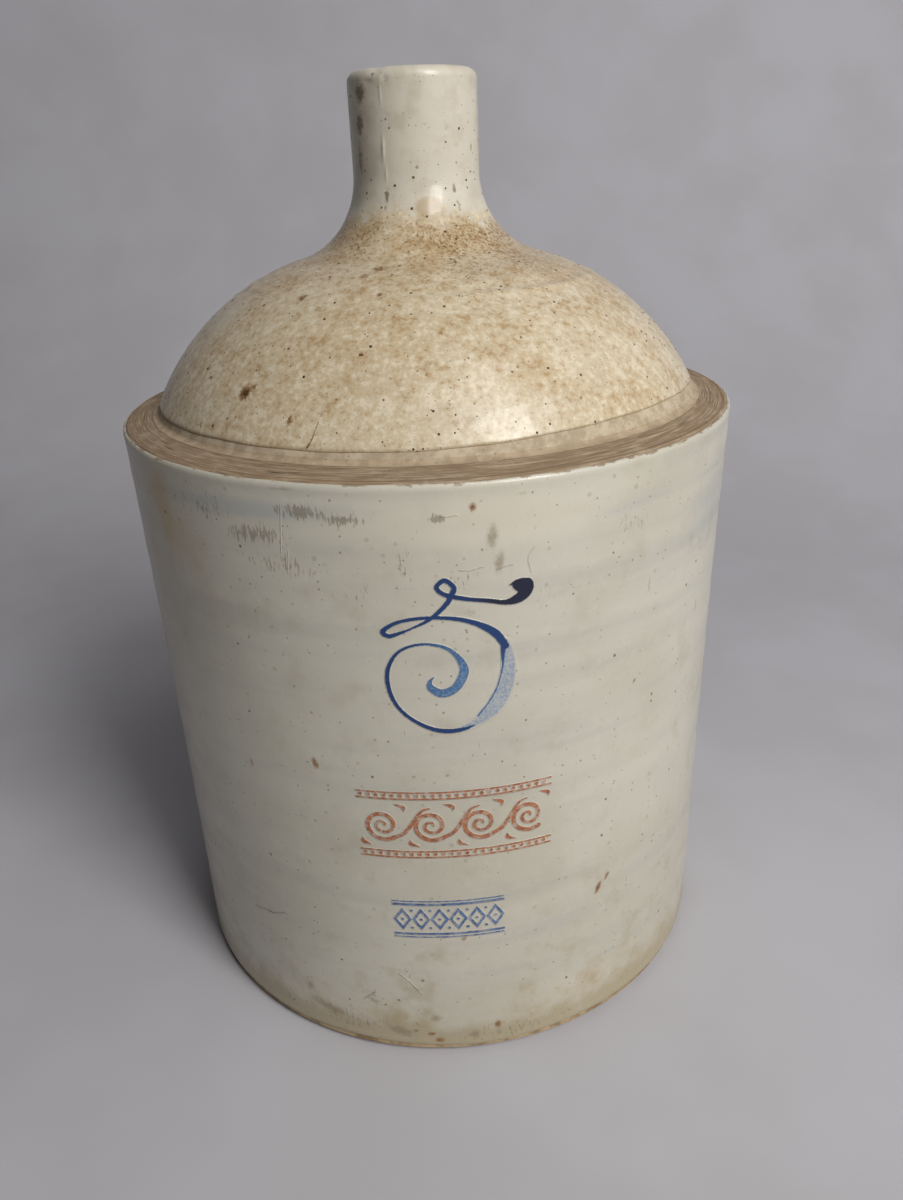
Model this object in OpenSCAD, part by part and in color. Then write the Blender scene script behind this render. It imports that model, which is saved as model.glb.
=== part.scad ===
// Stoneware shoulder jug: a straight-sided body, a bare ledge, a dome with a short neck luted on,
// and one pulled strap handle at the back. Millimetres, +Z up, the centre of the foot at the
// origin. The marked front faces -Y and the handle stands at +Y.

/* [Body] */
// Diameter of the foot on the floor
foot_d = 295.4; // [260:0.2:330]
// How far the side flares out from foot to shoulder
side_flare = 3.3; // [0:0.1:12]
// Height of the ledge's outer edge above the floor
body_h = 304.7; // [240:0.1:380]
// How late the side flares out, as a power of the height
flare_power = 2.2; // [1.2:0.1:4]
// Thickness of the side wall
wall = 11.5; // [8:0.5:15]
// Thickness of the floor
floor_t = 14; // [10:0.5:22]
// Rounding of the inside corner at the floor
floor_fillet = 12; // [6:0.5:20]
// Chamfer that keeps the foot's edge from chipping
foot_chamfer = 3; // [1:0.25:4]

/* [Shoulder] */
// Thickness of the shoulder ring at its outer edge
ring_t = 14; // [11:0.5:24]
// Width of the ledge, from the body's edge to the dome's foot
ledge_w = 16.5; // [10:0.5:26]
// Fall of the ledge towards its outer edge, in degrees
ledge_slope = 11; // [2:0.5:16]
// Radius of the ledge's outer edge
edge_round = 3; // [1.5:0.25:5]
// Depth to which the dome's foot is let into the ring
seat_depth = 2.2; // [1:0.1:3]

/* [Dome] */
// Lean of the dome at its foot, in degrees from upright
dome_lift = 25; // [15:1:35]
// Radius of the dome's outward bow
dome_bow = 119; // [108:1:150]
// Thickness of the wall of dome and neck
dome_wall = 10; // [7:0.5:13]
// Bare stretch of the dome above the ledge, along its curve
bare_band = 4.2; // [2.5:0.1:8]

/* [Neck] */
// Place of the neck's seam on the dome's bow, in degrees up from level
neck_seam = 62; // [48:1:66]
// Radius of the throat that turns the dome up into the neck
throat_bow = 39.5; // [30:0.5:55]
// Outer diameter of the neck
neck_d = 58.2; // [50:0.2:66]
// Straight length of neck above the throat
neck_len = 41.2; // [32:0.2:70]
// Diameter of the mouth's bore, where a cork is pushed in
mouth_d = 34; // [24:0.5:36]
// Place in the throat where the bore starts to narrow, in degrees below its top
choke_turn = 12; // [6:1:20]
// Outer rounding of the lip
lip_round = 4; // [2:0.25:5]
// Rounding of the mouth's inner edge
mouth_round = 3; // [1:0.25:4]

/* [Handle] */
// Width of the strap at its middle
strap_w = 33; // [24:1:40]
// Thickness of the strap at its middle
strap_t = 12.5; // [9:0.5:18]
// Width of the strap where it is pressed on
strap_root_w = 39; // [34:1:46]
// Thickness of the strap where it is pressed on
strap_root_t = 18; // [12:0.5:22]
// Drop from the lip to the centre of the strap's upper root
strap_drop = 24; // [18:0.5:30]
// Distance from the dome's foot inwards to the strap's lower root
strap_inset = 36.5; // [28:0.5:44]
// How far the strap is pulled out of the neck before it bends
strap_pull = 46; // [36:1:60]
// How far the strap climbs as it leaves the neck
strap_climb = 8; // [0:1:14]
// How far the strap stands off the dome before it bends
strap_stand = 40; // [30:1:52]

/* [Slip and glaze] */
// Thickness of the slip between luted parts
slip_t = 0.8; // [0.5:0.1:1.5]
// Radius of the slip squeezed out and wiped round under the ring, inside
squeeze_r = 6; // [3:0.5:10]
// Size of the cove of slip in the corner of ledge and dome
cove = 1.6; // [1:0.1:2.4]
// Thickness of the glaze coats
glaze_t = 0.6; // [0.4:0.1:1.2]
// Height of the foot that is wiped bare of glaze
foot_bare = 5; // [4:0.5:12]

/* [Hidden] */
foot_r = foot_d / 2;
shoulder_r = foot_r + side_flare;
neck_r = neck_d / 2;
mouth_r = mouth_d / 2;
// Underside of the ring, and the body's rim one layer of slip below it
ring_z = body_h - ring_t;
rim_z = ring_z - slip_t;
// Centre of the ledge's rounded edge, where its round ends, and the ledge line inwards from there
edge_z = body_h - edge_round;
edge_c = [body_r(edge_z) - edge_round, edge_z];
edge_end = 90 - ledge_slope;
edge_top = edge_c + edge_round * [cos(edge_end), sin(edge_end)];
seat_r = shoulder_r - ledge_w;
seat_z = ledge_z(seat_r);
// The dome's foot stands in a rebate of the ring, on a bed of slip
seat_in_r = seat_r - dome_wall * cos(dome_lift);
seat_in_z = seat_z - dome_wall * sin(dome_lift);
seat_floor = seat_in_z - seat_depth;
seat_wall_r = seat_r + slip_t;
// The dome's outward bow and the throat, two arcs that meet at one tangent
bow_c = [seat_r - dome_bow * cos(dome_lift), seat_z - dome_bow * sin(dome_lift)];
turn = acos((dome_bow * cos(dome_lift) + throat_bow - seat_r + neck_r) / (dome_bow + throat_bow));
throat_c = bow_c + (dome_bow + throat_bow) * [cos(turn), sin(turn)];
top_z = throat_c[1] + neck_len;
seam_below = neck_seam - bow_angle(slip_t / 2);
seam_above = neck_seam + bow_angle(slip_t / 2);
cove_end = dome_lift + bow_angle(cove);
glaze_from = dome_lift + bow_angle(bare_band);
// Steps along each kind of curve, and round the axis
side_steps = 14;
bow_steps = 12;
throat_steps = 10;
round_steps = 6;
turned = 180;
// The strap's path in the plane of the axis, as distance from the axis and height. Its upper end lies
// just inside the line where the root's sides meet the neck, its lower end this share into the wall
root_in_r = sqrt(neck_r * neck_r - strap_root_w * strap_root_w / 4) - slip_t;
sink_share = 0.7;
strap_sink = dome_wall * sink_share;
strap_from = [root_in_r, top_z - strap_drop];
strap_out = [neck_r + strap_pull, top_z - strap_drop + strap_climb];
land_a = acos((seat_r - strap_inset - bow_c[0]) / dome_bow);
strap_down = on_bow(land_a, strap_stand);
strap_to = on_bow(land_a, -strap_sink);
strap_rings = 26;
strap_sides = 24;
// Share of the strap's length over which its roots swell, and how boxy its section is
root_share = 0.22;
section_share = 0.72;

// Outline curves: off moves a curve outwards, and a wall's inside is the same curve moved inwards
function ledge_z(r) = edge_top[1] + (edge_top[0] - r) * tan(ledge_slope);
function body_r(z) = foot_r + side_flare * pow(max(z, 0) / body_h, flare_power);
function side_points(from, to, off = 0) =
    [for (i = [0:side_steps]) let (z = from + (to - from) * i / side_steps) [body_r(z) + off, z]];
function arc_points(c, r, from, to, steps) =
    [for (i = [0:steps]) let (a = from + (to - from) * i / steps) c + r * [cos(a), sin(a)]];
function bow_angle(length) = length / dome_bow * 180 / PI;
function on_bow(a, off = 0) = bow_c + (dome_bow + off) * [cos(a), sin(a)];
function dome_bow_points(from, off = 0) =
    arc_points(bow_c, dome_bow + off, from, seam_below, bow_steps);
function neck_bow_points(off = 0) = arc_points(bow_c, dome_bow + off, seam_above, turn, round_steps);
function throat_points(from, to, off = 0) =
    arc_points(throat_c, off - throat_bow, from, to, throat_steps);
function edge_points(off = 0) = arc_points(edge_c, edge_round + off, 0, edge_end, round_steps);
function flank_points(off = 0) = concat(
    side_points(foot_bare, rim_z, off),
    [[body_r(ring_z) + off, ring_z]],
    edge_points(off));
function crown_points(off = 0) = concat(
    dome_bow_points(glaze_from, off),
    neck_bow_points(off),
    throat_points(turn, 0, off));
function lip_points(off = 0) =
    arc_points([neck_r - lip_round, top_z - lip_round], lip_round + off, 0, 90, round_steps);
function mouth_points() =
    arc_points([mouth_r + mouth_round, top_z - mouth_round], mouth_round, 90, 180, round_steps);
function back(points) = [for (i = [len(points) - 1:-1:0]) points[i]];

// The two fillets inside the body: the floor's corner and the slip squeezed out under the ring
function floor_points(off = 0) =
    let (z = floor_t + floor_fillet, r = body_r(z) - wall - floor_fillet)
    arc_points([r, z], floor_fillet - off, -90, 0, round_steps);
function squeeze_z() = ring_z - squeeze_r;
function squeeze_points(off = 0) =
    let (r = body_r(squeeze_z()) - wall - squeeze_r)
    arc_points([r, squeeze_z()], squeeze_r - off, 0, 90, round_steps);
function inside_points(off = 0) =
    side_points(floor_t + floor_fillet, squeeze_z(), -wall - off);

// Everything that the lining coats, from the middle of the floor up to the choke of the throat
function cavity_points(off = 0) = concat(
    [[0, floor_t + off]],
    floor_points(off),
    inside_points(off),
    squeeze_points(off),
    [[seat_in_r - off, ring_z - off]],
    dome_bow_points(dome_lift, -dome_wall - off),
    neck_bow_points(-dome_wall - off),
    throat_points(turn, choke_turn, -dome_wall - off));

// Volume inside a turned outline, and what the jug holds up to its throat, in US gallons
function turned_volume(p) = PI / 3 * ([for (i = [0:len(p) - 2])
    (p[i + 1][1] - p[i][1]) * (p[i][0] * p[i][0] + p[i][0] * p[i + 1][0] + p[i + 1][0] * p[i + 1][0])]
    * [for (i = [0:len(p) - 2]) 1]);
gallon = 3785411.8;

module turned_solid(points) {
    rotate_extrude($fn = turned) polygon(points);
}

module body() {
    color("tan") turned_solid(concat(
        [[0, 0], [foot_r - foot_chamfer, 0], [body_r(foot_chamfer), foot_chamfer]],
        side_points(foot_bare, rim_z),
        [[body_r(rim_z) - wall, rim_z]],
        back(inside_points()),
        back(floor_points()),
        [[0, floor_t]]));
}

module shoulder_ring() {
    color("tan") turned_solid(concat(
        [[seat_in_r, ring_z], [body_r(ring_z), ring_z]],
        edge_points(),
        [[seat_wall_r, ledge_z(seat_wall_r)], [seat_wall_r, seat_floor], [seat_in_r, seat_floor]]));
}

module dome() {
    color("wheat") turned_solid(concat(
        [[seat_in_r, seat_floor + slip_t], [seat_r, seat_floor + slip_t]],
        [on_bow(dome_lift), on_bow(cove_end)],
        dome_bow_points(glaze_from),
        back(dome_bow_points(dome_lift, -dome_wall))));
}

// The neck's bore is straight, and opens into the throat below it
module neck() {
    color("wheat") turned_solid(concat(
        neck_bow_points(),
        throat_points(turn, 0),
        lip_points(),
        mouth_points(),
        [[mouth_r, throat_c[1]]],
        back(throat_points(turn, choke_turn, -dome_wall)),
        back(neck_bow_points(-dome_wall))));
}

// The slip between body and ring, with the fillet that is wiped round inside
module shoulder_slip() {
    color("peru") turned_solid(concat(
        squeeze_points(),
        [[body_r(ring_z), ring_z], [body_r(rim_z), rim_z], [body_r(rim_z) - wall, rim_z]]));
}

// The slip round the dome's foot, with the cove that shows outside
module dome_slip() {
    from = [seat_r + cove + slip_t, ledge_z(seat_r + cove + slip_t)];
    to = on_bow(cove_end);
    corner = [seat_r, seat_z];
    cove_points = [for (i = [0:round_steps]) let (t = i / round_steps)
        pow(1 - t, 2) * from + 2 * t * (1 - t) * corner + t * t * to];
    color("peru") turned_solid(concat(
        [[seat_in_r, seat_floor], [seat_wall_r, seat_floor], [seat_wall_r, ledge_z(seat_wall_r)]],
        cove_points,
        [corner, [seat_r, seat_floor + slip_t], [seat_in_r, seat_floor + slip_t]]));
}

module neck_slip() {
    color("peru") turned_solid([
        on_bow(seam_below),
        on_bow(seam_above),
        on_bow(seam_above, -dome_wall),
        on_bow(seam_below, -dome_wall)]);
}

module body_glaze() {
    color("ivory") turned_solid(concat(flank_points(), back(flank_points(glaze_t))));
}

function top_coat_points(off = 0) = concat(
    crown_points(off),
    lip_points(off),
    [[mouth_r + mouth_round, top_z + off]]);

module top_glaze() {
    color("cornsilk") difference() {
        turned_solid(concat(top_coat_points(), back(top_coat_points(glaze_t))));
        strap();
    }
}

module lining_glaze() {
    color("saddlebrown") turned_solid(concat(cavity_points(), back(cavity_points(glaze_t))));
}

// The strap: a rounded flat section that follows one curve and swells at both roots
function strap_place(t) =
    pow(1 - t, 3) * strap_from + 3 * pow(1 - t, 2) * t * strap_out
    + 3 * (1 - t) * t * t * strap_down + pow(t, 3) * strap_to;
function strap_dir(t) =
    let (d = pow(1 - t, 2) * (strap_out - strap_from) + 2 * (1 - t) * t * (strap_down - strap_out)
        + t * t * (strap_to - strap_down))
    d / norm(d);
function swell(t) = pow(max(0, 1 - min(t, 1 - t) / root_share), 2);
function boxy(x) = sign(x) * pow(abs(x), section_share);
function strap_ring(t, off) =
    let (c = strap_place(t), d = strap_dir(t),
        w = strap_w / 2 + (strap_root_w - strap_w) / 2 * swell(t) + off,
        h = strap_t / 2 + (strap_root_t - strap_t) / 2 * swell(t) + off)
    [for (i = [0:strap_sides - 1])
        let (a = 360 * i / strap_sides, u = boxy(cos(a)) * w, v = boxy(sin(a)) * h)
        [u, c[0] - v * d[1], c[1] + v * d[0]]];

module strap(off = 0) {
    points = [for (j = [0:strap_rings]) each strap_ring(j / strap_rings, off)];
    n = strap_sides;
    last = strap_rings * n;
    sides = [for (j = [0:strap_rings - 1], i = [0:n - 1])
        let (a = j * n + i, b = j * n + (i + 1) % n) each [[a, b, a + n], [b, b + n, a + n]]];
    near = [for (i = [1:n - 2]) [0, i + 1, i]];
    far = [for (i = [1:n - 2]) [last, last + i, last + i + 1]];
    polyhedron(points, concat(sides, near, far));
}

// The outer form of dome and neck, as one solid that trims the strap's ends
module jug_form(off = 0) {
    turned_solid(concat(
        [[0, seat_z]],
        crown_points(off),
        [[neck_r + off, top_z], [0, top_z]]));
}

module handle() {
    color("wheat") difference() {
        strap();
        jug_form(slip_t);
    }
}

module handle_slip() {
    color("peru") difference() {
        intersection() {
            strap();
            jug_form(slip_t);
        }
        jug_form();
    }
}

module handle_glaze() {
    color("cornsilk") difference() {
        strap(glaze_t);
        strap();
        jug_form(glaze_t);
    }
}

echo(gallons = turned_volume(cavity_points(glaze_t)) / gallon, height = top_z + glaze_t);
body();
shoulder_ring();
dome();
neck();
handle();
shoulder_slip();
dome_slip();
neck_slip();
handle_slip();
body_glaze();
top_glaze();
handle_glaze();
lining_glaze();
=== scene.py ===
import math
from functools import partial

import bpy
import numpy as np
from mathutils import Matrix, Vector


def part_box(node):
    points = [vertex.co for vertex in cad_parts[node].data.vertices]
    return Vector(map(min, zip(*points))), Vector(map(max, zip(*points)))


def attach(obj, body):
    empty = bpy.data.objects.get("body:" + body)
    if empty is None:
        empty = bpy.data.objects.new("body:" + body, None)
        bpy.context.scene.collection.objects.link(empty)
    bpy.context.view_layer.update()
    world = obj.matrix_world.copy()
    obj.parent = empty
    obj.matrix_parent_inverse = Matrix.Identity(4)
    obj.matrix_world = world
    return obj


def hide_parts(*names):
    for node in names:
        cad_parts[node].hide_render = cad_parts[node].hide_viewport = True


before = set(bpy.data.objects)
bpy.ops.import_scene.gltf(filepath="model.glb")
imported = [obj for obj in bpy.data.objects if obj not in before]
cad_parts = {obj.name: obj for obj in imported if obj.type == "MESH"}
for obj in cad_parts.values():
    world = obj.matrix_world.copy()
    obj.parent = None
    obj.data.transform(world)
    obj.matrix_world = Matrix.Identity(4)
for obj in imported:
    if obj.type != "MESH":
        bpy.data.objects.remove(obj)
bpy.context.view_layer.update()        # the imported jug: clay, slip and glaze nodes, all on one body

print("frame loaded:", sorted(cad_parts))

mm = 0.001               # tables and outlines are in millimetres, Blender is in metres
tau = 2 * math.pi

# The clay's own sizes, in mm and degrees
jug = {
    "footR": 147.7,
    "flareOut": 3.3,         # the side flares this far, late, with the power below
    "flarePower": 2.2,
    "shoulderZ": 304.7,
    "edgeRound": 3.0,
    "ledgeSlope": 11.0,
    "seatR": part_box("dome")[1][0] / mm,
    "lift": 25.0,            # lean of the dome at its foot, from upright
    "bow": 119.0,
    "throat": 39.5,
    "neckR": 29.1,
    "neckLen": 41.2,
    "mouthR": 17.0,
    "lipRound": 4.0,
    "mouthRound": 3.0,
    "seam": 62.0,            # where the neck is luted to the dome, up the bow
}


# Numbers and outlines

def rad(degrees):
    return degrees * math.pi / 180


def smooth(x, low, high):
    t = np.clip((x - low) / (high - low), 0, 1)
    return t * t * (3 - 2 * t)


def hump(x, centre, width):
    return np.exp(-((x - centre) / width) ** 2)


def bodyR(z):
    share = np.clip(np.asarray(z, float), 0, None) / jug["shoulderZ"]
    return jug["footR"] + jug["flareOut"] * share ** jug["flarePower"]


def arc(centre, radius, start, end, step=0.25):
    count = max(4, int(abs(rad(end - start) * radius) / step))
    a = np.radians(np.linspace(start, end, count))
    return np.stack([centre[0] + radius * np.cos(a), centre[1] + radius * np.sin(a)], 1)


def line(a, b, step=0.25):
    count = max(3, int(math.dist(a, b) / step))
    t = np.linspace(0, 1, count)[:, None]
    return np.asarray(a) * (1 - t) + np.asarray(b) * t


# An outline is points as (radius, height), with the length along it and the way out of the clay
def outline(*runs):
    points = np.concatenate(runs)
    points = points[np.r_[True, np.linalg.norm(np.diff(points, axis=0), axis=1) > 0.01]]
    run = np.r_[0, np.cumsum(np.linalg.norm(np.diff(points, axis=0), axis=1))]
    way = np.gradient(points, run, axis=0)
    way /= np.linalg.norm(way, axis=1)[:, None]
    return {"s": run, "p": points, "n": np.stack([way[:, 1], -way[:, 0]], 1), "end": run[-1]}


# Places on an outline: radius, height and the two parts of the normal, for any array of lengths
def along(shape, s):
    read = [np.interp(s, shape["s"], column) for column in (*shape["p"].T, *shape["n"].T)]
    length = np.hypot(read[2], read[3])
    return read[0], read[1], read[2] / length, read[3] / length


# Length along an outline at which its height first passes z
def lengthAt(shape, z):
    return float(np.interp(z, shape["p"][:, 1], shape["s"]))


# The point at a distance and an angle in degrees from another, in an outline's plane
def polar(centre, radius, angle):
    return centre[0] + radius * math.cos(rad(angle)), centre[1] + radius * math.sin(rad(angle))


edgeZ = jug["shoulderZ"] - jug["edgeRound"]
edgeC = (float(bodyR(edgeZ)) - jug["edgeRound"], edgeZ)
edgeEnd = 90 - jug["ledgeSlope"]
edgeTop = polar(edgeC, jug["edgeRound"], edgeEnd)


def ledgeZ(r):
    return edgeTop[1] + (edgeTop[0] - r) * math.tan(rad(jug["ledgeSlope"]))


seatZ = ledgeZ(jug["seatR"])
bowC = polar((jug["seatR"], seatZ), -jug["bow"], jug["lift"])
reach = jug["bow"] + jug["throat"]
turn = math.degrees(math.acos((jug["neckR"] + jug["throat"] - bowC[0]) / reach))
throatC = polar(bowC, reach, turn)
topZ = throatC[1] + jug["neckLen"]


# Meshes

# Azimuth runs from the marked front, which faces -Y, towards +X
def turned(r, z, a):
    return np.stack([r * np.sin(a), -r * np.cos(a), z * np.ones_like(r * a)], -1)


# Columns round the axis, close together at the front where the marks are
def columns(count, crowding):
    u = np.arange(count) / count
    return tau * u - crowding * np.sin(tau * u)


# An object from points in mm and quads, turned the right way out. Its last faces may be left flat
def meshFrom(name, points, quads, flat=0):
    a, b, c, d = (points[quads[:, k]] for k in range(4))
    volume = np.einsum("ij,ij->", np.cross(a, b), c) + np.einsum("ij,ij->", np.cross(a, c), d)
    if volume < 0:
        quads = quads[:, ::-1]
    mesh = bpy.data.meshes.new(name)
    mesh.from_pydata((points * mm).tolist(), [], quads.tolist())
    rounded = np.ones(len(quads), bool)
    rounded[len(quads) - flat:] = False
    mesh.polygons.foreach_set("use_smooth", rounded)
    mesh.update()
    piece = bpy.data.objects.new(name, mesh)
    bpy.context.scene.collection.objects.link(piece)
    return piece


# A closed ring of a mesh from a grid of points: the last column meets the first, and the last row the first
def ringMesh(name, grid):
    rows, cols = grid.shape[:2]
    i, j = np.arange(rows)[:, None], np.arange(cols)[None, :]
    i2, j2 = (i + 1) % rows, (j + 1) % cols
    quads = np.stack([i * cols + j, i * cols + j2, i2 * cols + j2, i2 * cols + j], -1)
    return meshFrom(name, grid.reshape(-1, 3), quads.reshape(-1, 4))


# Values on the points of a mesh, in its own order. What is left over, on the hidden back, gets none
def paint(piece, values):
    for name, value in values.items():
        data = np.zeros(len(piece.data.vertices), np.float32)
        data[:np.size(value)] = np.reshape(value, -1)
        piece.data.attributes.new(name, "FLOAT", "POINT").data.foreach_set("value", data)


# Slow waves: whole ones round the jug, free ones along its height, each part (amount, waves, rise in mm)
def wander(seed, a, z, parts):
    rng = np.random.default_rng(seed)
    total = np.zeros(np.broadcast(a, z).shape)
    for amount, waves, rise in parts:
        phase = rng.uniform(0, tau, 2)
        total += amount * np.sin(waves * a + phase[0]) * np.cos(tau * z / rise + phase[1])
    return total


# Marks on a turned surface, each (azimuth, z, half width, half height, strength, slant in degrees)
def marks(table, a, r, z, gather=np.maximum):
    total = np.zeros(np.broadcast(a, z).shape)
    for azimuth, height, wide, high, strength, slant in table:
        across = (np.remainder(a - rad(azimuth) + math.pi, tau) - math.pi) * r
        up = z - height
        u = across * math.cos(rad(slant)) + up * math.sin(rad(slant))
        v = up * math.cos(rad(slant)) - across * math.sin(rad(slant))
        total = gather(total, strength * np.exp(-((u / wide) ** 2 + (v / high) ** 2)))
    return total


# A coat of glass: rounded where it ends, with the roll that surface tension leaves behind the edge
coatEnd = {"roundness": 2.2, "rollAt": 2.4, "rollWide": 1.6}


def coatThickness(fromEnd, thick, roll):
    t = np.clip(fromEnd / (thick * coatEnd["roundness"]), 0, 1)
    return thick * np.sqrt(1 - (1 - t) ** 2) + roll * hump(fromEnd, coatEnd["rollAt"], coatEnd["rollWide"])


# The coat's closed skin: an outer face that carries the relief, and a plain inner face on the clay
def coatMesh(name, shape, s, a, height, every=8):
    r, z, nr, nz = along(shape, s)
    outer = turned(r + nr * height, z + nz * height, a)
    back = turned(r, z, a)[1:-1][::-1][::every]
    return ringMesh(name, np.concatenate([outer, back]))


# Glaze on the body: one coat from the wiped foot to the edge of the ledge
bodyCoat = {
    "thick": 0.6, "roll": 0.16, "columns": 400, "crowding": 0.55, "step": 1.9,
    "edgeRows": [0, 0.1, 0.25, 0.5, 0.9, 1.4, 2.0, 2.8, 3.8, 5.0, 6.5], "edgeZone": 8.2,
    "footBare": 5.0, "footWave": 1.3, "footFade": 12.0, "edgeWave": 0.3, "edgeFade": 3.0, "edgeBare": 6.0,
    "ringsStart": (0, 25), "ringsStop": (286, 300),     # heights between which they come and go
    "footStain": [(0.9, 30, 2), (0.4, 130, 20)],     # each (strength, height where it starts, and is full)
    "rings": [(0.10, 1, 31), (0.07, 2, 19), (0.05, 1, 14.5), (0.08, 3, 120)],     # the potter's hand
    "rust": [(5.8, 293.8, 1.5, 2.4, 1, 0), (13.8, 208.4, 1.1, 1.0, 1, 0),
             (-22.6, 173.3, 2.0, 4.2, 0.8, 15), (35.6, 197.8, 0.9, 0.9, 0.9, 0),
             (29.2, 86.5, 1.7, 4.4, 1, -22), (31.3, 91.5, 1.4, 3.0, 0.9, -30),
             (-38.2, 70.4, 4.0, 0.9, 0.7, -8), (64, 263.5, 2.2, 0.9, 0.7, 20),
             (-29.5, 226, 1.1, 1.3, 0.8, 0), (-26.3, 226.5, 1.0, 0.8, 0.7, 0),
             (-6.1, 49.5, 1.3, 1.6, 0.8, 0), (-44, 60, 1.2, 3.0, 0.6, 10), (-5.2, 171, 1.4, 1.2, 0.75, 0),
             (0.4, 170.5, 1.6, 1.2, 0.75, 0), (-37, 163, 2.0, 4.0, 0.6, 10), (2.0, 76, 1.6, 2.2, 0.7, -30),
             (-3.3, 41, 1.5, 1.2, 0.8, 0), (-16, 38, 2.2, 1.2, 0.7, -20), (8, 17, 2.4, 3.4, 0.85, 10),
             (-3.4, 9, 3.6, 2.2, 0.85, 0), (-22, 200, 1.2, 1.0, 0.8, 0), (-8.0, 14.6, 1.7, 1.3, 0.9, 0),
             (-5.0, 13.4, 2.8, 1.6, 0.9, 0), (-32, 8.5, 1.5, 0.9, 0.8, 0), (80, 243, 1.3, 1.6, 0.8, 0),
             (118, 262, 2.6, 3.2, 0.8, 20), (-96, 118, 1.4, 4.2, 0.7, 8), (158, 96, 1.9, 1.5, 0.8, 0),
             (-140, 226, 1.6, 1.4, 0.8, 0), (-171, 51, 5.2, 1.4, 0.7, -12)],
    "scuff": [(-19.9, 292.1, 10, 3.2, 1.25, 0), (-13.5, 289.6, 9, 2.4, 1.1, 0),
              (-28.5, 281, 15, 5, 0.9, 0), (-24, 268, 18, 6, 0.55, 0), (-38, 288, 14, 6, 0.6, 0),
              (0.6, 290.3, 3.0, 1.7, 1.5, 10), (-4.6, 272, 3, 9, 0.6, 0), (3.0, 264.5, 9, 3, 0.5, 8),
              (17, 253, 5, 5, 0.35, 0), (33, 276, 13, 6, 0.35, 0), (-12, 259, 9, 4, 0.4, 0),
              (-20, 16, 24, 8, 0.45, 0), (10, 12, 30, 7, 0.45, 0), (96, 270, 22, 10, 0.6, 0),
              (-120, 279, 26, 9, 0.6, 0), (170, 262, 18, 12, 0.5, 0)],
    "smudge": [(8.6, 281, 2.8, 6.0, 0.85, -6), (9.6, 269.5, 2.4, 6.0, 0.8, -6),
               (5.0, 249.2, 4.5, 2.6, 0.5, 0), (2.5, 237, 3.5, 2.6, 0.35, 0),
               (-9.5, 279, 3.2, 2.2, 0.4, 0), (23.0, 250.5, 1.6, 5.5, 0.4, -10),
               (-8.5, 292.8, 3.5, 1.4, 0.5, 0), (13.5, 297.3, 4.5, 1.3, 0.5, 0),
               (-22.8, 301.3, 7, 1.1, 0.6, 0), (-11, 14, 8, 3.5, 0.95, -20), (-26, 20, 14, 4, 0.8, -15),
               (-37, 38, 7, 16, 0.35, 0), (-4, 24, 3.0, 2.6, 0.9, 0), (3.5, 12, 2.6, 3.4, 0.95, 0),
               (-16, 33, 5, 2.0, 0.75, -25), (-30, 31, 3, 5, 0.7, 0), (60, 60, 16, 12, 0.25, 0),
               (-150, 150, 22, 14, 0.3, 20)],
    "tan": [(-51, 281, 11, 22, 0.9, 6), (-46, 268, 18, 22, 0.6, 10), (-40, 247, 12, 18, 0.35, 15),
            (-58, 262, 22, 34, 0.5, 0), (-22, 24, 40, 14, 0.45, 0), (25, 26, 55, 18, 0.4, 0),
            (0.5, 82, 24, 15, 0.25, 0), (120, 246, 32, 42, 0.55, 20), (-160, 44, 62, 30, 0.5, 0),
            (176, 215, 20, 50, 0.4, 0)],
    "pale": [(6, 288, 75, 15, 0.9, 0), (40, 150, 30, 60, 0.3, 0)],
    "cool": [(-30, 292, 70, 5, 0.8, 1), (34, 284, 44, 9, 0.6, 5), (8, 270, 60, 7, 0.1, 0),
             (60, 266, 40, 26, 0.7, 0), (150, 284, 90, 12, 0.8, 0), (-120, 282, 90, 12, 0.7, 0)],
}

sideZ = np.arange(2, edgeZ, 0.25)
bodyLine = outline(
    np.stack([bodyR(sideZ), sideZ], 1),
    arc(edgeC, jug["edgeRound"], 0, edgeEnd, 0.1),
    line(edgeTop, (edgeTop[0] - 4, ledgeZ(edgeTop[0] - 4))),
)
bodyLow = lengthAt(bodyLine, bodyCoat["footBare"])
bodyHigh = bodyLine["end"] - bodyCoat["edgeBare"]


# Height of the body's glaze over its clay, away from the coat's ends
def bodyRelief(a, s):
    c = bodyCoat
    z = along(bodyLine, s)[1]
    rings = wander(11, a, z, c["rings"])
    return c["thick"] + rings * smooth(z, *c["ringsStart"]) * (1 - smooth(z, *c["ringsStop"]))


def bodyMarks(a, s):
    z = along(bodyLine, s)[1] + 0 * a
    found = {name: marks(bodyCoat[name], a, jug["footR"], z)
             for name in ("rust", "scuff", "smudge", "tan", "cool", "pale")}
    found["foot"] = sum(strength * smooth(z, low, full) for strength, low, full in bodyCoat["footStain"])
    found["rim"] = smooth(bodyHigh - s + 0 * a, 3.0, 0.2)
    return found


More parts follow.
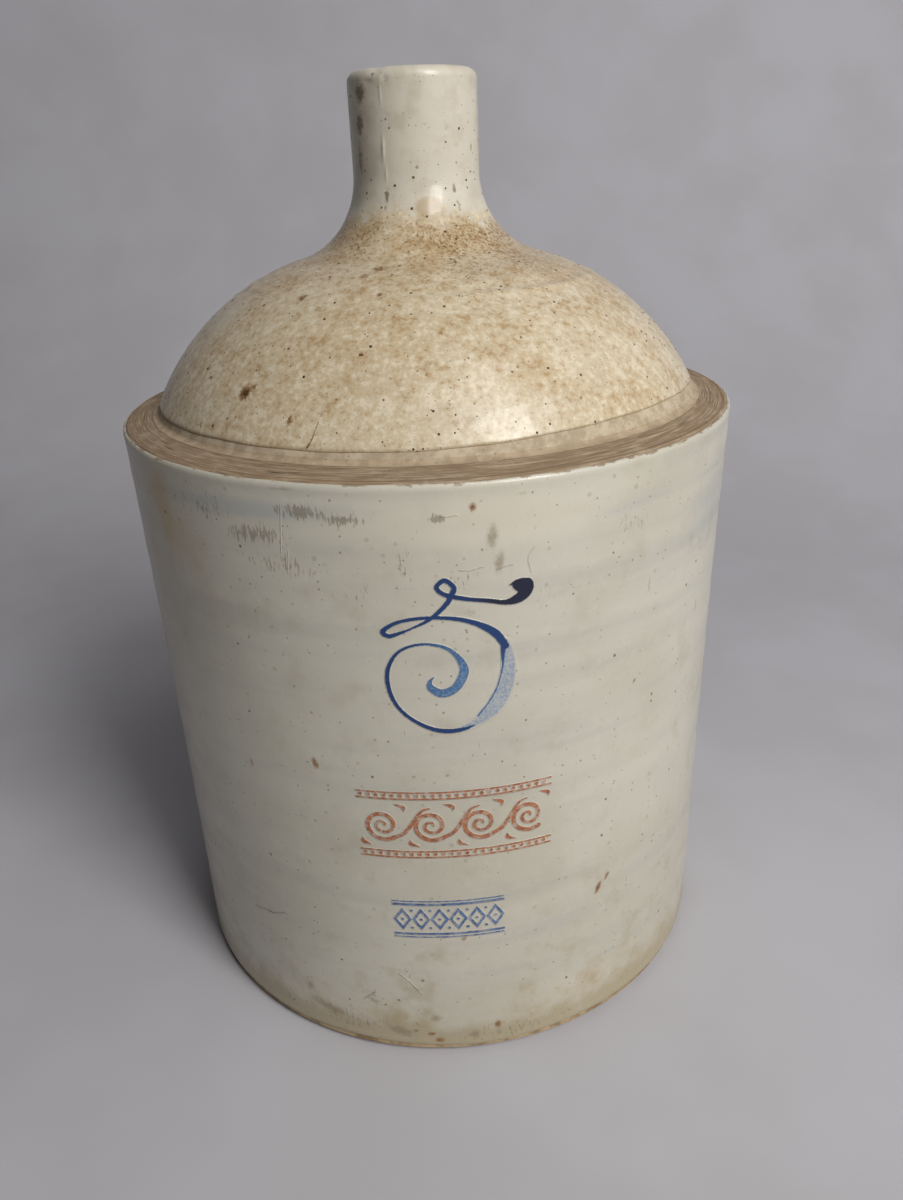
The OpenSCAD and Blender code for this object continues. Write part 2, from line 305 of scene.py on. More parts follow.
def makeBodyGlaze():
    c = bodyCoat
    a = columns(c["columns"], c["crowding"])[None, :]
    fine = np.array(c["edgeRows"])
    low, high = bodyLow + c["edgeZone"], bodyHigh - c["edgeZone"]
    middle = np.linspace(low, high, int((high - low) / c["step"]))
    s = np.r_[bodyLow + fine, middle, (bodyHigh - fine)[::-1]][:, None]
    foot = wander(21, a, 0, [(0.5, 2, 1), (0.35, 5, 1), (0.3, 9, 1), (0.2, 17, 1)]) * c["footWave"]
    edge = wander(22, a, 0, [(0.4, 3, 1), (0.3, 8, 1), (0.35, 19, 1), (0.3, 37, 1)]) * c["edgeWave"]
    moved = s + foot * np.exp(-(s - bodyLow) / c["footFade"])
    moved = moved + edge * np.exp(-(bodyHigh - s) / c["edgeFade"])
    ends = sum(coatThickness(fromEnd, c["thick"], c["roll"]) for fromEnd in (s - bodyLow, bodyHigh - s))
    piece = coatMesh("body_coat", bodyLine, moved, a, ends - 2 * c["thick"] + bodyRelief(a, moved))
    paint(piece, bodyMarks(a, s))
    return piece


# Glaze on dome, neck and lip, down into the mouth
topCoat = {
    "thick": 0.6, "roll": 0.05, "columns": 400, "crowding": 0.5, "step": 1.5,
    "edgeRows": [0, 0.1, 0.25, 0.5, 0.9, 1.4, 2.0, 2.8, 3.8],
    "bareBand": 4.2, "footWave": 1.1, "footFade": 8.0, "footRise": 3.0, "riseAt": 48, "into": 14.0,
    "waves": [(0.12, 2, 90), (0.08, 3, 47), (0.05, 1, 17), (0.04, 2, 11)],
    "seamHigh": 0.6, "seamWide": 1.9, "hollow": 0.35, "hollowUp": 4.6, "hollowWide": 2.47,
    # Heights between which the toasted tone comes and goes, is uneven, and gives way to the neck's tone
    "toastRise": (335, 384), "toastFade": (384, 400), "unevenRise": (345, 370), "neckRise": (376, 402),
    "raggedness": 12.0,
    # Runs, drops and chips of glaze
    "runs": [(-28.5, 441, 0.6, 3.4, 0.22, 1), (-28.5, 419.5, 0.7, 4.6, 0.35, -2),
             (-27, 409, 0.6, 2.4, 0.25, 0), (7.5, 394.5, 4.2, 3.8, 0.22, 0), (16, 390, 2.6, 2.4, 0.2, -30),
             (70, 428, 1.1, 12, 0.3, 2), (-160, 424, 1.0, 12, 0.35, -2), (-33, 450, 3.0, 1.6, -0.4, 0),
             (-24, 447, 1.4, 1.5, -0.3, 0), (-41, 446, 2.4, 1.4, -0.35, 0), (150, 450, 3.0, 1.6, -0.4, 0)],
    "rust": [(-38.0, 328.9, 3.6, 3.2, 1, 0), (-36.2, 331.3, 2.2, 1.8, 0.7, 0),
             (-25.8, 321.4, 1.4, 2.2, 0.95, 10), (0.3, 340.2, 2.8, 2.4, 0.5, 0),
             (-38.3, 361.8, 3.2, 1.3, 0.8, 0), (-12.7, 363.4, 1.7, 1.0, 0.8, 0),
             (3.7, 350.1, 1.1, 0.8, 0.8, 0), (24.6, 343.0, 1.1, 0.8, 0.8, 0),
             (-53.9, 334.7, 1.3, 1.3, 0.8, 0), (-29.8, 358.7, 2.0, 1.0, 0.6, 0),
             (-18, 371.5, 4.0, 1.4, 0.7, 0), (-22, 369.5, 3.5, 1.3, 0.6, 0),
             (4.0, 327.5, 1.2, 1.2, 0.8, 0), (-19.7, 323.6, 1.4, 1.4, 0.7, 10),
             (33, 362, 4.0, 1.2, 0.4, 0), (12, 331, 0.9, 0.8, 0.8, 0), (95, 338, 4.2, 3.0, 0.9, 0),
             (141, 352, 2.2, 1.8, 0.8, 0), (-118, 345, 3.2, 2.4, 0.9, 0), (-152, 329, 1.8, 2.6, 0.8, 0),
             (112, 322, 1.8, 1.4, 0.8, 0)],
    "scuff": [(-52, 442, 4.2, 4.8, 1.1, 0), (-55, 430, 3.4, 6, 1.05, 0), (-57, 416, 2.6, 8, 0.85, 0),
              (-26, 400, 1.2, 3.6, 1.1, 5), (-27, 395, 1.4, 2.4, 0.8, 0), (33, 402, 1.2, 3.0, 1.0, 0),
              (35, 395, 1.4, 4.0, 0.7, 0), (27, 426, 1.6, 6.0, 0.5, -12), (22, 421, 1.4, 2.0, 0.4, 0),
              (9, 428.5, 1.5, 0.7, 0.7, 0), (58, 419, 1.0, 2.6, 0.9, 0), (-7, 433, 4, 5, 0.4, 0),
              (10, 415, 1.6, 4, 0.45, 0), (3, 405, 1.0, 5, 0.4, 0), (-35.5, 448.5, 1.0, 1.2, 1, 0),
              (118, 420, 4, 9, 0.8, 0), (-120, 428, 5, 8, 0.8, 0), (176, 436, 6, 5, 0.5, 0)],
    "blush": [(9.5, 393.8, 7.6, 6.2, 1, 0), (-16, 391, 6, 4, 0.4, 0)],     # tan patches at the neck's foot
    "pale": [(-66, 352, 12, 8, 0.8, 0), (-9, 333, 15, 12, 0.3, 0), (38, 330, 24, 12, 0.3, 0),
             (10, 322, 60, 6, 0.3, 0)],
}

boreZ = topZ - jug["mouthRound"]
topLine = outline(
    arc(bowC, jug["bow"], jug["lift"], turn),
    arc(throatC, -jug["throat"], turn, 0),
    line((jug["neckR"], throatC[1]), (jug["neckR"], topZ - jug["lipRound"])),
    arc((jug["neckR"] - jug["lipRound"], topZ - jug["lipRound"]), jug["lipRound"], 0, 90, 0.15),
    line((jug["neckR"] - jug["lipRound"], topZ), (jug["mouthR"] + jug["mouthRound"], topZ), 0.15),
    arc((jug["mouthR"] + jug["mouthRound"], boreZ), jug["mouthRound"], 90, 180, 0.15),
    line((jug["mouthR"], boreZ), (jug["mouthR"], boreZ - topCoat["into"])),
)
seamAt = rad(jug["seam"] - jug["lift"]) * jug["bow"]
lipAt = float(topLine["s"][np.argmax(topLine["p"][:, 1] > topZ - 0.01)])


# Height of the top's glaze over its clay, away from the coat's ends: waves, runs and the seam's low ridge
def topRelief(a, s):
    c = topCoat
    r, z = along(topLine, s)[:2]
    waves = wander(31, a, s, c["waves"]) * smooth(s, 0, 25) * (1 - smooth(s, lipAt - 12, lipAt - 2))
    wobble = wander(32, a, 0, [(0.5, 1, 1), (0.35, 4, 1), (0.3, 9, 1)])
    strength = 0.65 + wander(33, a, 0, [(0.25, 2, 1), (0.2, 5, 1), (0.15, 11, 1)])
    hollow = c["hollow"] * hump(s, seamAt + c["hollowUp"] + wobble, c["hollowWide"])
    seam = hump(s, seamAt + wobble, c["seamWide"]) - hollow
    runs = marks(c["runs"], a, r, z, np.add) * (s < lipAt + 2)
    return c["thick"] + waves + c["seamHigh"] * strength * seam + runs


def topMarks(a, s):
    c = topCoat
    r, z = along(topLine, s)[:2]
    found = {name: marks(c[name], a, r, z) for name in ("rust", "scuff", "blush", "pale")}
    around = wander(35, a, 0, [(0.12, 1, 1), (0.1, 3, 1), (0.07, 7, 1), (0.05, 13, 1)])
    ragged = z + (around * c["raggedness"] + wander(36, a, z, [(1.2, 11, 24), (0.9, 17, 15)]))
    toast = smooth(z, *c["toastRise"]) * (1 - smooth(ragged, *c["toastFade"]))
    toast = toast + around * smooth(z, *c["unevenRise"])
    found["toast"] = np.clip(toast, 0, 1.2) * (s < lipAt)
    found["neck"] = smooth(ragged, *c["neckRise"])
    found["bore"] = smooth(s + 0 * a, lipAt + 5, lipAt + 9)
    found["rim"] = smooth(s - c["bareBand"] + 0 * a, 2.6, 0.2)
    found["outside"] = (s < lipAt - 4) + 0 * a
    return found


def makeTopGlaze():
    c = topCoat
    a = columns(c["columns"], c["crowding"])[None, :]
    low, high = c["bareBand"], topLine["end"]
    fine = np.array(c["edgeRows"])
    # Rows of the mesh: from each place on, with this step
    stops = [(low + 5, c["step"]), (seamAt - 6, 0.7), (seamAt + 11, c["step"]), (lipAt - 8, 0.6),
             (lipAt + 10, 1.2), (high - 4.5, 0)]
    rows = [np.arange(start, end, step) for (start, step), (end, _) in zip(stops, stops[1:])]
    s = np.concatenate([low + fine, *rows, (high - fine)[::-1]])[:, None]
    foot = wander(34, a, 0, [(0.45, 2, 1), (0.35, 5, 1), (0.2, 11, 1), (0.12, 23, 1)]) * c["footWave"]
    # The band was wiped higher on the right
    foot += c["footRise"] * np.clip(np.cos(a - rad(c["riseAt"])), 0, 1) ** 4
    moved = s + foot * np.exp(-(s - low) / c["footFade"])
    ends = coatThickness(s - low, c["thick"], c["roll"]) + coatThickness(high - s, c["thick"], 0)
    piece = coatMesh("top_coat", topLine, moved, a, ends - 2 * c["thick"] + topRelief(a, moved))
    paint(piece, topMarks(a, s))
    return piece


# The ledge: the shoulder ring's bare clay, turned with a rib that left fine concentric lines. A hidden
# tongue carries it on under the dome's foot
ledge = {
    "columns": 640, "crowding": 0.4, "step": 0.3,
    "ribs": 0.07, "ribWidths": (0.9, 1.3, 1.9, 2.9, 4.6), "lean": 1.0,
    "beside": 0.8, "tongue": 10.0, "tongueThick": 4.0, "sunk": 0.1,
    "grainLong": 15.0, "grainWide": 0.5, "grainR": 150.0,
    # Scratches, with the radius in place of the height
    "cuts": [(-25.0, 144.6, 5.0, 0.5, 0.6, 0), (-22.0, 143.4, 3.0, 0.4, 0.5, 0),
             (31, 146.2, 6, 0.4, 0.3, 0), (52, 141, 9, 0.4, 0.3, 0), (-52, 143, 8, 0.4, 0.35, 0),
             (150, 143, 9, 0.4, 0.4, 0)],
}


def makeLedge():
    c = ledge
    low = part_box("shoulder_ring")[0][2] / mm
    above = low + c["tongueThick"]
    inner = jug["seatR"] + c["beside"]
    hidden = inner - c["tongue"]
    side = float(bodyR(low))
    runs = [
        line((hidden, low), (side, low), 3.0),
        line((side, low), (float(bodyR(edgeZ)), edgeZ), 2.0),
        arc(edgeC, jug["edgeRound"], 0, edgeEnd, 0.35),
        line(edgeTop, (inner, ledgeZ(inner)), c["step"]),
        line((inner, ledgeZ(inner)), (inner, above), 2.0),
        line((inner, above), (hidden, above), 3.0),
        line((hidden, above), (hidden, low), 2.0),
    ]
    points = np.concatenate([run[:-1] for run in runs])
    onFace = np.array([k == 3 for k, run in enumerate(runs) for _ in run[:-1]])[:, None]
    a = columns(c["columns"], c["crowding"])[None, :]
    r, z = points[:, :1] + 0 * a, points[:, 1:] + 0 * a
    rng = np.random.default_rng(41)
    ribs = np.zeros_like(r)
    for width in c["ribWidths"]:
        lean = wander(int(width * 10), a, 0, [(0.5, 2, 1), (0.4, 5, 1), (0.3, 9, 1)]) * c["lean"]
        ribs += c["ribs"] * np.sin(tau * r / width + rng.uniform(0, tau) + lean)
    cuts = marks(c["cuts"], a, r, r, np.add)
    piece = ringMesh("ledge", turned(r, z + (ribs - cuts - c["sunk"]) * onFace, a))
    paint(piece, {
        # corner: painted shade, with some dirt, on the ledge where it meets the dome's foot
        "corner": smooth(r, inner + 3.4, inner + 0.4) * onFace,
        "lip": smooth(r, edgeTop[0] - 2.2, edgeTop[0] - 0.2) * onFace,
        "cut": cuts * onFace,
    })
    return piece


# Trees of nodes

# Gives inputs what they hold or are linked to
def feed(tree, sockets, inputs):
    for key, value in inputs.items():
        if isinstance(value, bpy.types.NodeSocket):
            tree.links.new(value, sockets[key])
        else:
            sockets[key].default_value = value


# Adds one node and returns one of its outputs. A kind without "Node" in its name is a shader node
def addNode(tree, kind, inputs={}, out=0, **settings):
    node = tree.nodes.new(kind if "Node" in kind else "ShaderNode" + kind)
    for key, value in settings.items():
        setattr(node, key, value)
    feed(tree, node.inputs, inputs)
    return node.outputs[out]


def newGeometryTree(name, sizes):
    tree = bpy.data.node_groups.new(name, "GeometryNodeTree")
    tree.interface.new_socket("Geometry", in_out="OUTPUT", socket_type="NodeSocketGeometry")
    kinds = {float: "Float", int: "Int", tuple: "Vector", bpy.types.Object: "Object"}
    ids = {}
    for key, value in sizes.items():
        kind = "NodeSocket" + kinds[type(value)]
        ids[key] = tree.interface.new_socket(key, in_out="INPUT", socket_type=kind).identifier
    return tree, ids, tree.nodes.new("NodeGroupInput").outputs


# Ends a tree, runs it on an empty object and keeps the result as a plain mesh
def grown(name, tree, ids, sizes, geometry, material):
    whole = addNode(tree, "GeometryNodeRealizeInstances", {"Geometry": geometry})
    rounded = addNode(tree, "GeometryNodeSetShadeSmooth", {"Geometry": whole, "Shade Smooth": True})
    coated = addNode(tree, "GeometryNodeSetMaterial", {"Geometry": rounded, "Material": material})
    tree.links.new(coated, tree.nodes.new("NodeGroupOutput").inputs[0])
    maker = bpy.data.objects.new(name + "_maker", bpy.data.meshes.new(name + "_maker"))
    bpy.context.scene.collection.objects.link(maker)
    modifier = maker.modifiers.new(name, "NODES")
    modifier.node_group = tree
    for key, value in sizes.items():
        modifier[ids[key]] = value
    bpy.context.view_layer.update()
    mesh = bpy.data.meshes.new_from_object(maker.evaluated_get(bpy.context.evaluated_depsgraph_get()))
    bpy.data.objects.remove(maker)
    mesh.name = name
    piece = bpy.data.objects.new(name, mesh)
    bpy.context.scene.collection.objects.link(piece)
    return piece


# The strap handle's glazed skin: Geometry Nodes carry a rounded flat section along the pulled strap's
# curve. Its four points are the ones the clay strap follows, as (across, back, up), with sizes in mm
strap = {
    "rootWidth": 39.0, "slip": 0.8, "drop": 24.0, "pull": 46.0, "climb": 8.0, "inset": 36.5, "stand": 40.0,
    "sink": 7.0,
}
landing = math.degrees(math.acos((jug["seatR"] - strap["inset"] - bowC[0]) / jug["bow"]))
rootIn = math.sqrt(jug["neckR"] ** 2 - (strap["rootWidth"] / 2) ** 2) - strap["slip"]


def overDome(height):
    return 0, *polar(bowC, jug["bow"] + height, landing)


handle = {
    "From": (0, rootIn, topZ - strap["drop"]),
    "Out": (0, jug["neckR"] + strap["pull"], topZ - strap["drop"] + strap["climb"]),
    "Down": overDome(strap["stand"]),
    "To": overDome(-strap["sink"]),
    "Half width": 16.5, "Half thickness": 6.25,
    "Root half width": strap["rootWidth"] / 2, "Root half thickness": 9.0,
    "Coat": 0.62, "Ridge": 0.75, "Flare": 2.6, "Lumps": 0.35,
}
# Counts, and shares of the strap's length or of one; the lumps' scale is a texture scale, in metres
handleShares = {
    "Root share": 0.22, "Flare from": 0.13, "Flare full": 0.035, "Boxiness": 0.72, "Lump scale": 62.0,
    "Steps": 150, "Sides": 72,
}


def makeHandle(material):
    sizes = {key: tuple(v * mm for v in value) if isinstance(value, tuple) else value * mm
             for key, value in handle.items()} | handleShares
    tree, ids, given = newGeometryTree("pulledStrap", sizes)
    add = partial(addNode, tree)
    # A straight line and a circle carry the two parameters, along the strap and round its section
    spine = add("GeometryNodeResampleCurve",
                {"Curve": add("GeometryNodeCurvePrimitiveLine"), "Count": given["Steps"]})
    ring = add("GeometryNodeCurvePrimitiveCircle", {"Resolution": given["Sides"], "Radius": 0.01})
    share = add("GeometryNodeSplineParameter")
    kept = []
    for curve in (spine, ring):
        capture = tree.nodes.new("GeometryNodeCaptureAttribute")
        capture.capture_items.new("FLOAT", "share")
        tree.links.new(curve, capture.inputs[0])
        tree.links.new(share, capture.inputs[1])
        kept.append(capture.outputs)
    tube = add("GeometryNodeCurveToMesh",
               {"Curve": kept[0][0], "Profile Curve": kept[1][0], "Fill Caps": True})
    t = kept[0][1]
    angle = add("Math", {0: kept[1][1], 1: tau}, operation="MULTIPLY")
    # The curve's point at t, and its direction there, by halving between its four points
    points = [given[key] for key in ("From", "Out", "Down", "To")]
    while len(points) > 1:
        last = points
        points = [add("Mix", {0: t, 4: a, 5: b}, 1, data_type="VECTOR") for a, b in zip(points, points[1:])]
    ahead = add("VectorMath", {0: last[1], 1: last[0]}, operation="SUBTRACT")
    ahead = add("VectorMath", {0: ahead}, operation="NORMALIZE")
    upward = add("VectorMath", {0: (1, 0, 0), 1: ahead}, operation="CROSS_PRODUCT")
    # Both roots swell, and flare where they meet the jug
    fromEnd = add("Math", {0: t, 1: add("Math", {0: 1.0, 1: t}, operation="SUBTRACT")}, operation="MINIMUM")
    swell = add("MapRange", {"Value": fromEnd, "From Min": given["Root share"], "From Max": 0.0})
    swell = add("Math", {0: swell, 1: 2.0}, operation="POWER")
    flare = add("MapRange", {
        "Value": fromEnd, "To Max": given["Flare"],
        "From Min": given["Flare from"], "From Max": given["Flare full"],
    }, interpolation_type="SMOOTHSTEP")
    grow = add("Math", {0: given["Coat"], 1: flare}, operation="ADD")
    place, waves = [], []
    for way, trig in (("width", "COSINE"), ("thickness", "SINE")):
        ends = given["Half " + way], given["Root half " + way]
        half = add("Mix", {0: swell, 2: ends[0], 3: ends[1]}, data_type="FLOAT")
        half = add("Math", {0: half, 1: grow}, operation="ADD")
        wave = add("Math", {0: angle}, operation=trig)
        size = add("Math", {0: wave}, operation="ABSOLUTE")
        size = add("Math", {0: size, 1: given["Boxiness"]}, operation="POWER")
        boxy = add("Math", {0: add("Math", {0: wave}, operation="SIGN"), 1: size}, operation="MULTIPLY")
        place.append(add("Math", {0: boxy, 1: half}, operation="MULTIPLY"))
        waves.append(wave)
    # Three long ridges on the outer face, from the fingers that pulled the strap
    ridge = add("Math", {0: waves[0], 1: 3 * math.pi}, operation="MULTIPLY")
    ridge = add("Math", {0: ridge}, operation="COSINE")
    ridge = add("Math", {0: ridge, 1: 0.5, 2: 0.5}, operation="MULTIPLY_ADD")
    outward = add("Math", {0: waves[1], 1: 0.0}, operation="MAXIMUM")
    ridge = add("Math", {0: ridge, 1: outward}, operation="MULTIPLY")
    ridge = add("Math", {0: ridge, 1: given["Ridge"]}, operation="MULTIPLY")
    above = add("Math", {0: place[1], 1: ridge}, operation="ADD")
    spot = add("VectorMath", {0: points[0], 1: add("CombineXYZ", {"X": place[0]})}, operation="ADD")
    spot = add("VectorMath", {0: upward, 1: above, 2: spot}, operation="MULTIPLY_ADD")
    skin = add("GeometryNodeSetPosition", {"Geometry": tube, "Position": spot})
    # Slow lumps, outwards only, so that the clay strap stays under the coat
    lump = add("TexNoise", {"Scale": given["Lump scale"], "Detail": 1.0})
    lump = add("Math", {0: lump, 1: given["Lumps"]}, operation="MULTIPLY")
    push = add("VectorMath", {0: add("GeometryNodeInputNormal"), "Scale": lump}, operation="SCALE")
    skin = add("GeometryNodeSetPosition", {"Geometry": skin, "Offset": push})
    return grown("handle_coat", tree, ids, sizes, skin, material)


# Iron specks that bled through the glaze of the top: flattened grains, scattered by Geometry Nodes. The
# higher their rarity is, the fewer are large
specks = {
    "Per square metre": 15000.0, "Seed": 7, "Least": 0.18 * mm, "Most": 0.8 * mm, "Rarity": 3.2,
    "Flatness": 0.3,
}


def makeSpecks(host, material):
    sizes = specks | {"Host": host}
    tree, ids, given = newGeometryTree("ironSpecks", sizes)
    add = partial(addNode, tree)
    coat = add("GeometryNodeObjectInfo", {"Object": given["Host"]}, "Geometry")
    outside = add("GeometryNodeInputNamedAttribute", {"Name": "outside"}, data_type="FLOAT")
    outside = add("Math", {0: outside, 1: 0.5}, operation="GREATER_THAN")
    where = add("GeometryNodeDistributePointsOnFaces", {
        "Mesh": coat, "Selection": outside, "Density": given["Per square metre"], "Seed": given["Seed"]})
    grain = add("GeometryNodeMeshIcoSphere", {"Radius": 1.0, "Subdivisions": 1})
    draw = add("FunctionNodeRandomValue", {"Seed": 3}, 1, data_type="FLOAT")
    few = add("Math", {0: draw, 1: given["Rarity"]}, operation="POWER")
    size = add("MapRange", {"Value": few, "To Min": given["Least"], "To Max": given["Most"]})
    flat = add("Math", {0: size, 1: given["Flatness"]}, operation="MULTIPLY")
    scale = add("CombineXYZ", {"X": size, "Y": size, "Z": flat})
    put = add("GeometryNodeInstanceOnPoints", {
        "Points": where, "Instance": grain, "Rotation": where.node.outputs["Rotation"], "Scale": scale})
    return grown("iron_specks", tree, ids, sizes, put, material)


# Colours and finishes

def colour(code):
    parts = [int(code[k:k + 2], 16) / 255 for k in (1, 3, 5)]
    return tuple(v / 12.92 if v <= 0.04045 else ((v + 0.055) / 1.055) ** 2.4 for v in parts) + (1,)


def perMm(size):
    return 1 / (size * mm)     # a texture scale whose features are this many mm across


# A blank material, its tree, its shader's inputs and the place on the object, in metres
def newFinish(name):
    material = bpy.data.materials.new(name)
    material.use_nodes = True
    tree = material.node_tree
    tree.nodes.clear()
    shader = addNode(tree, "BsdfPrincipled")
    tree.links.new(shader, tree.nodes.new("ShaderNodeOutputMaterial").inputs["Surface"])
    return material, tree, shader.node.inputs, addNode(tree, "TexCoord", out="Object")


# Lays a colour over another where a mask passes from low to high; most is a number or another mask
def layer(tree, under, over, mask, low, high, most=1.0):
    much = addNode(tree, "MapRange", {"Value": mask, "From Min": low, "From Max": high, "To Max": most},
                   interpolation_type="SMOOTHSTEP")
    under, over = (colour(tone) if isinstance(tone, str) else tone for tone in (under, over))
    return addNode(tree, "Mix", {0: much, 6: under, 7: over}, 2, data_type="RGBA")


# Lays several colours in turn, each row (colour, mask, low, high) and then the most, where it isn't one
def layers(tree, tone, rows):
    for row in rows:
        tone = layer(tree, tone, *row)
    return tone


# A mask of round dots at random places: cells of one size, dots of up to another, in a share of the cells
def dots(tree, place, cell, radius, share):
    gap = addNode(tree, "TexVoronoi", {"Vector": place, "Scale": perMm(cell)}, "Distance")
    draw = addNode(tree, "SeparateColor", {"Color": gap.node.outputs["Color"]})
    size = addNode(tree, "Math", {0: draw.node.outputs[1], 1: radius / cell}, operation="MULTIPLY")
    inside = addNode(tree, "Math", {0: size, 1: gap}, operation="SUBTRACT")
    here = addNode(tree, "Math", {0: draw, 1: share}, operation="LESS_THAN")
    return addNode(tree, "MapRange", {
        "Value": inside, "From Min": -0.1 * radius / cell, "From Max": 0.3 * radius / cell, "To Max": here,
    }, interpolation_type="SMOOTHSTEP")


# A painted mark with a broken edge: its value plus so much of a noise
def broken(tree, name, noise, amount):
    painted = addNode(tree, "Attribute", {}, "Fac", attribute_name=name)
    return addNode(tree, "Math", {0: noise, 1: amount, 2: painted}, operation="MULTIPLY_ADD")


# A felspar glaze fired white-grey over buff stoneware: glassy, pinholed, warm where it thins, with worn
# dirty scuffs. A mark under it is a function that lays its ink on the glaze's colour
def bodyGlazeFinish(name, ink=None):
    material, tree, shader, place = newFinish(name)
    add, worn = partial(addNode, tree), partial(broken, tree)
    broad = add("TexNoise", {"Vector": place, "Scale": perMm(85)})     # drift of the firing
    patch, small, grain = (
        add("TexNoise", {"Vector": place, "Scale": perMm(wide), "Detail": detail, "Roughness": rough})
        for wide, detail, rough in ((17, 4.0, 0.62), (5, 3.0, 0.6), (2.2, 3.0, 0.7)))
    # Level bands, wiped on the wheel, and upright strokes
    bands, strokes = (
        add("TexNoise", {"Vector": add("Mapping", {"Vector": place, "Scale": stretch}),
                         "Scale": perMm(wide), "Detail": 3.0, "Roughness": rough})
        for stretch, wide, rough in (((0.35, 0.35, 4.0), 60, 0.6), ((1.0, 1.0, 0.22), 1.0, 0.7)))
    pits = dots(tree, place, 8, 1.0, 0.6)
    tone = layers(tree, "#c7c2b3", [
        ("#c0baa9", broad, 0.4, 0.62),
        ("#b3b0a5", bands, 0.45, 0.72, 0.5),
        ("#d0cbbc", small, 0.5, 0.8, 0.35),
        ("#b1a995", patch, 0.5, 0.78, 0.5),
        ("#dbd3bf", worn("pale", patch, 0.8), 0.5, 1.4, 0.55),
        ("#a6a9a7", worn("cool", bands, 1.0), 0.75, 1.35, 0.5),
        ("#bea06d", worn("tan", patch, 0.9), 0.55, 1.45, 0.65),
        ("#a69673", worn("foot", patch, 1.4), 0.95, 1.75, 0.75),
        ("#73654f", worn("scuff", strokes, 3.2), 2.1, 2.5, 0.6),
        ("#8d8068", worn("smudge", grain, 1.0), 0.7, 1.35, 0.7),
        ("#84704f", worn("rim", small, 2.4), 2.15, 2.45, 0.75),
        ("#8a6330", worn("rust", grain, 0.8), 0.7, 1.15, 0.9),
        ("#4f3a20", worn("rust", grain, 0.8), 1.1, 1.4, 0.8),
        ("#6b5a45", pits, 0.0, 1.0, 0.85),
        ("#7b6e58", dots(tree, place, 3.4, 0.65, 0.6), 0.0, 1.0, 0.65),
        ("#938770", dots(tree, place, 5.5, 1.3, 0.4), 0.0, 1.0, 0.35),
    ])
    if ink:
        tone = ink(tree, place, tone)
    shine = add("MapRange", {
        "Value": patch, "From Min": 0.25, "From Max": 0.75, "To Min": 0.36, "To Max": 0.48})
    ripple = add("TexNoise", {"Vector": place, "Scale": perMm(9), "Detail": 0.0})
    skin = add("Math", {0: pits, 1: -0.7, 2: ripple}, operation="MULTIPLY_ADD")
    feed(tree, shader, {
        "Base Color": tone, "Roughness": shine, "IOR": 1.5, "Coat Weight": 0.3, "Coat Roughness": 0.1,
        "Normal": add("Bump", {"Height": skin, "Strength": 0.16, "Distance": 0.3 * mm}),
    })
    return material


# Cobalt laid on with a brush: near black where it pooled, pale and stippled where the brush ran dry
def cobaltInk(tree, place, tone):
    add, worn = partial(addNode, tree), partial(broken, tree)
    edge = add("TexNoise", {"Vector": place, "Scale": perMm(0.9), "Detail": 3.0, "Roughness": 0.7})
    stipple = add("TexNoise", {"Vector": place, "Scale": perMm(1.2), "Detail": 4.0, "Roughness": 0.75})
    thin = add("MapRange", {
        "Value": stipple, "From Min": 0.4, "From Max": 0.6, "To Min": 0.3, "To Max": 0.95})
    load = add("Attribute", {}, "Fac", attribute_name="tone")
    dry = add("MapRange", {"Value": load, "From Min": 0.45, "To Max": 0.8})
    blue = layers(tree, "#020a2c", [
        ("#0a3469", load, 0.0, 0.34),
        ("#345f91", load, 0.4, 0.72),
        ("#5c82a9", load, 0.72, 1.0),
        ("#92a5b4", stipple, 0.46, 0.62, dry),
        ("#285487", worn("line", edge, 0.5), 0.95, 0.4, dry),     # ink gathers at the edge
    ])
    return layers(tree, tone, [
        ("#8296ae", worn("wash", edge, 1.6), 0.4, 1.5, thin),
        (blue, worn("line", edge, 0.7), 0.12, 0.6),
    ])


# Ink from a rubber stamp: blotchy and dotted, with bare gaps where it did not take
def stampInk(dark, light, take, tree, place, tone):
    add = partial(addNode, tree)
    edge, gaps, blotch = (
        add("TexNoise", {"Vector": place, "Scale": perMm(wide), "Detail": detail, "Roughness": rough})
        for wide, detail, rough in ((0.8, 3.0, 0.7), (3.0, 4.0, 0.72), (2.1, 3.0, 0.6)))
    solid = add("MapRange", {
        "Value": gaps, "From Min": 0.36, "From Max": 0.52, "To Min": take, "To Max": 0.93})
    inked = layer(tree, light, dark, blotch, 0.42, 0.62)
    return layer(tree, tone, inked, broken(tree, "line", edge, 0.9), 0.3, 0.62, solid)


# Dirt that has stained a hairline scratch in the glass
def scratchInk(tree, place, tone):
    grain = addNode(tree, "TexNoise", {
        "Vector": place, "Scale": perMm(1.4), "Detail": 3.0, "Roughness": 0.7})
    return layer(tree, tone, "#756751", broken(tree, "line", grain, 0.8), 0.3, 0.8, 0.65)


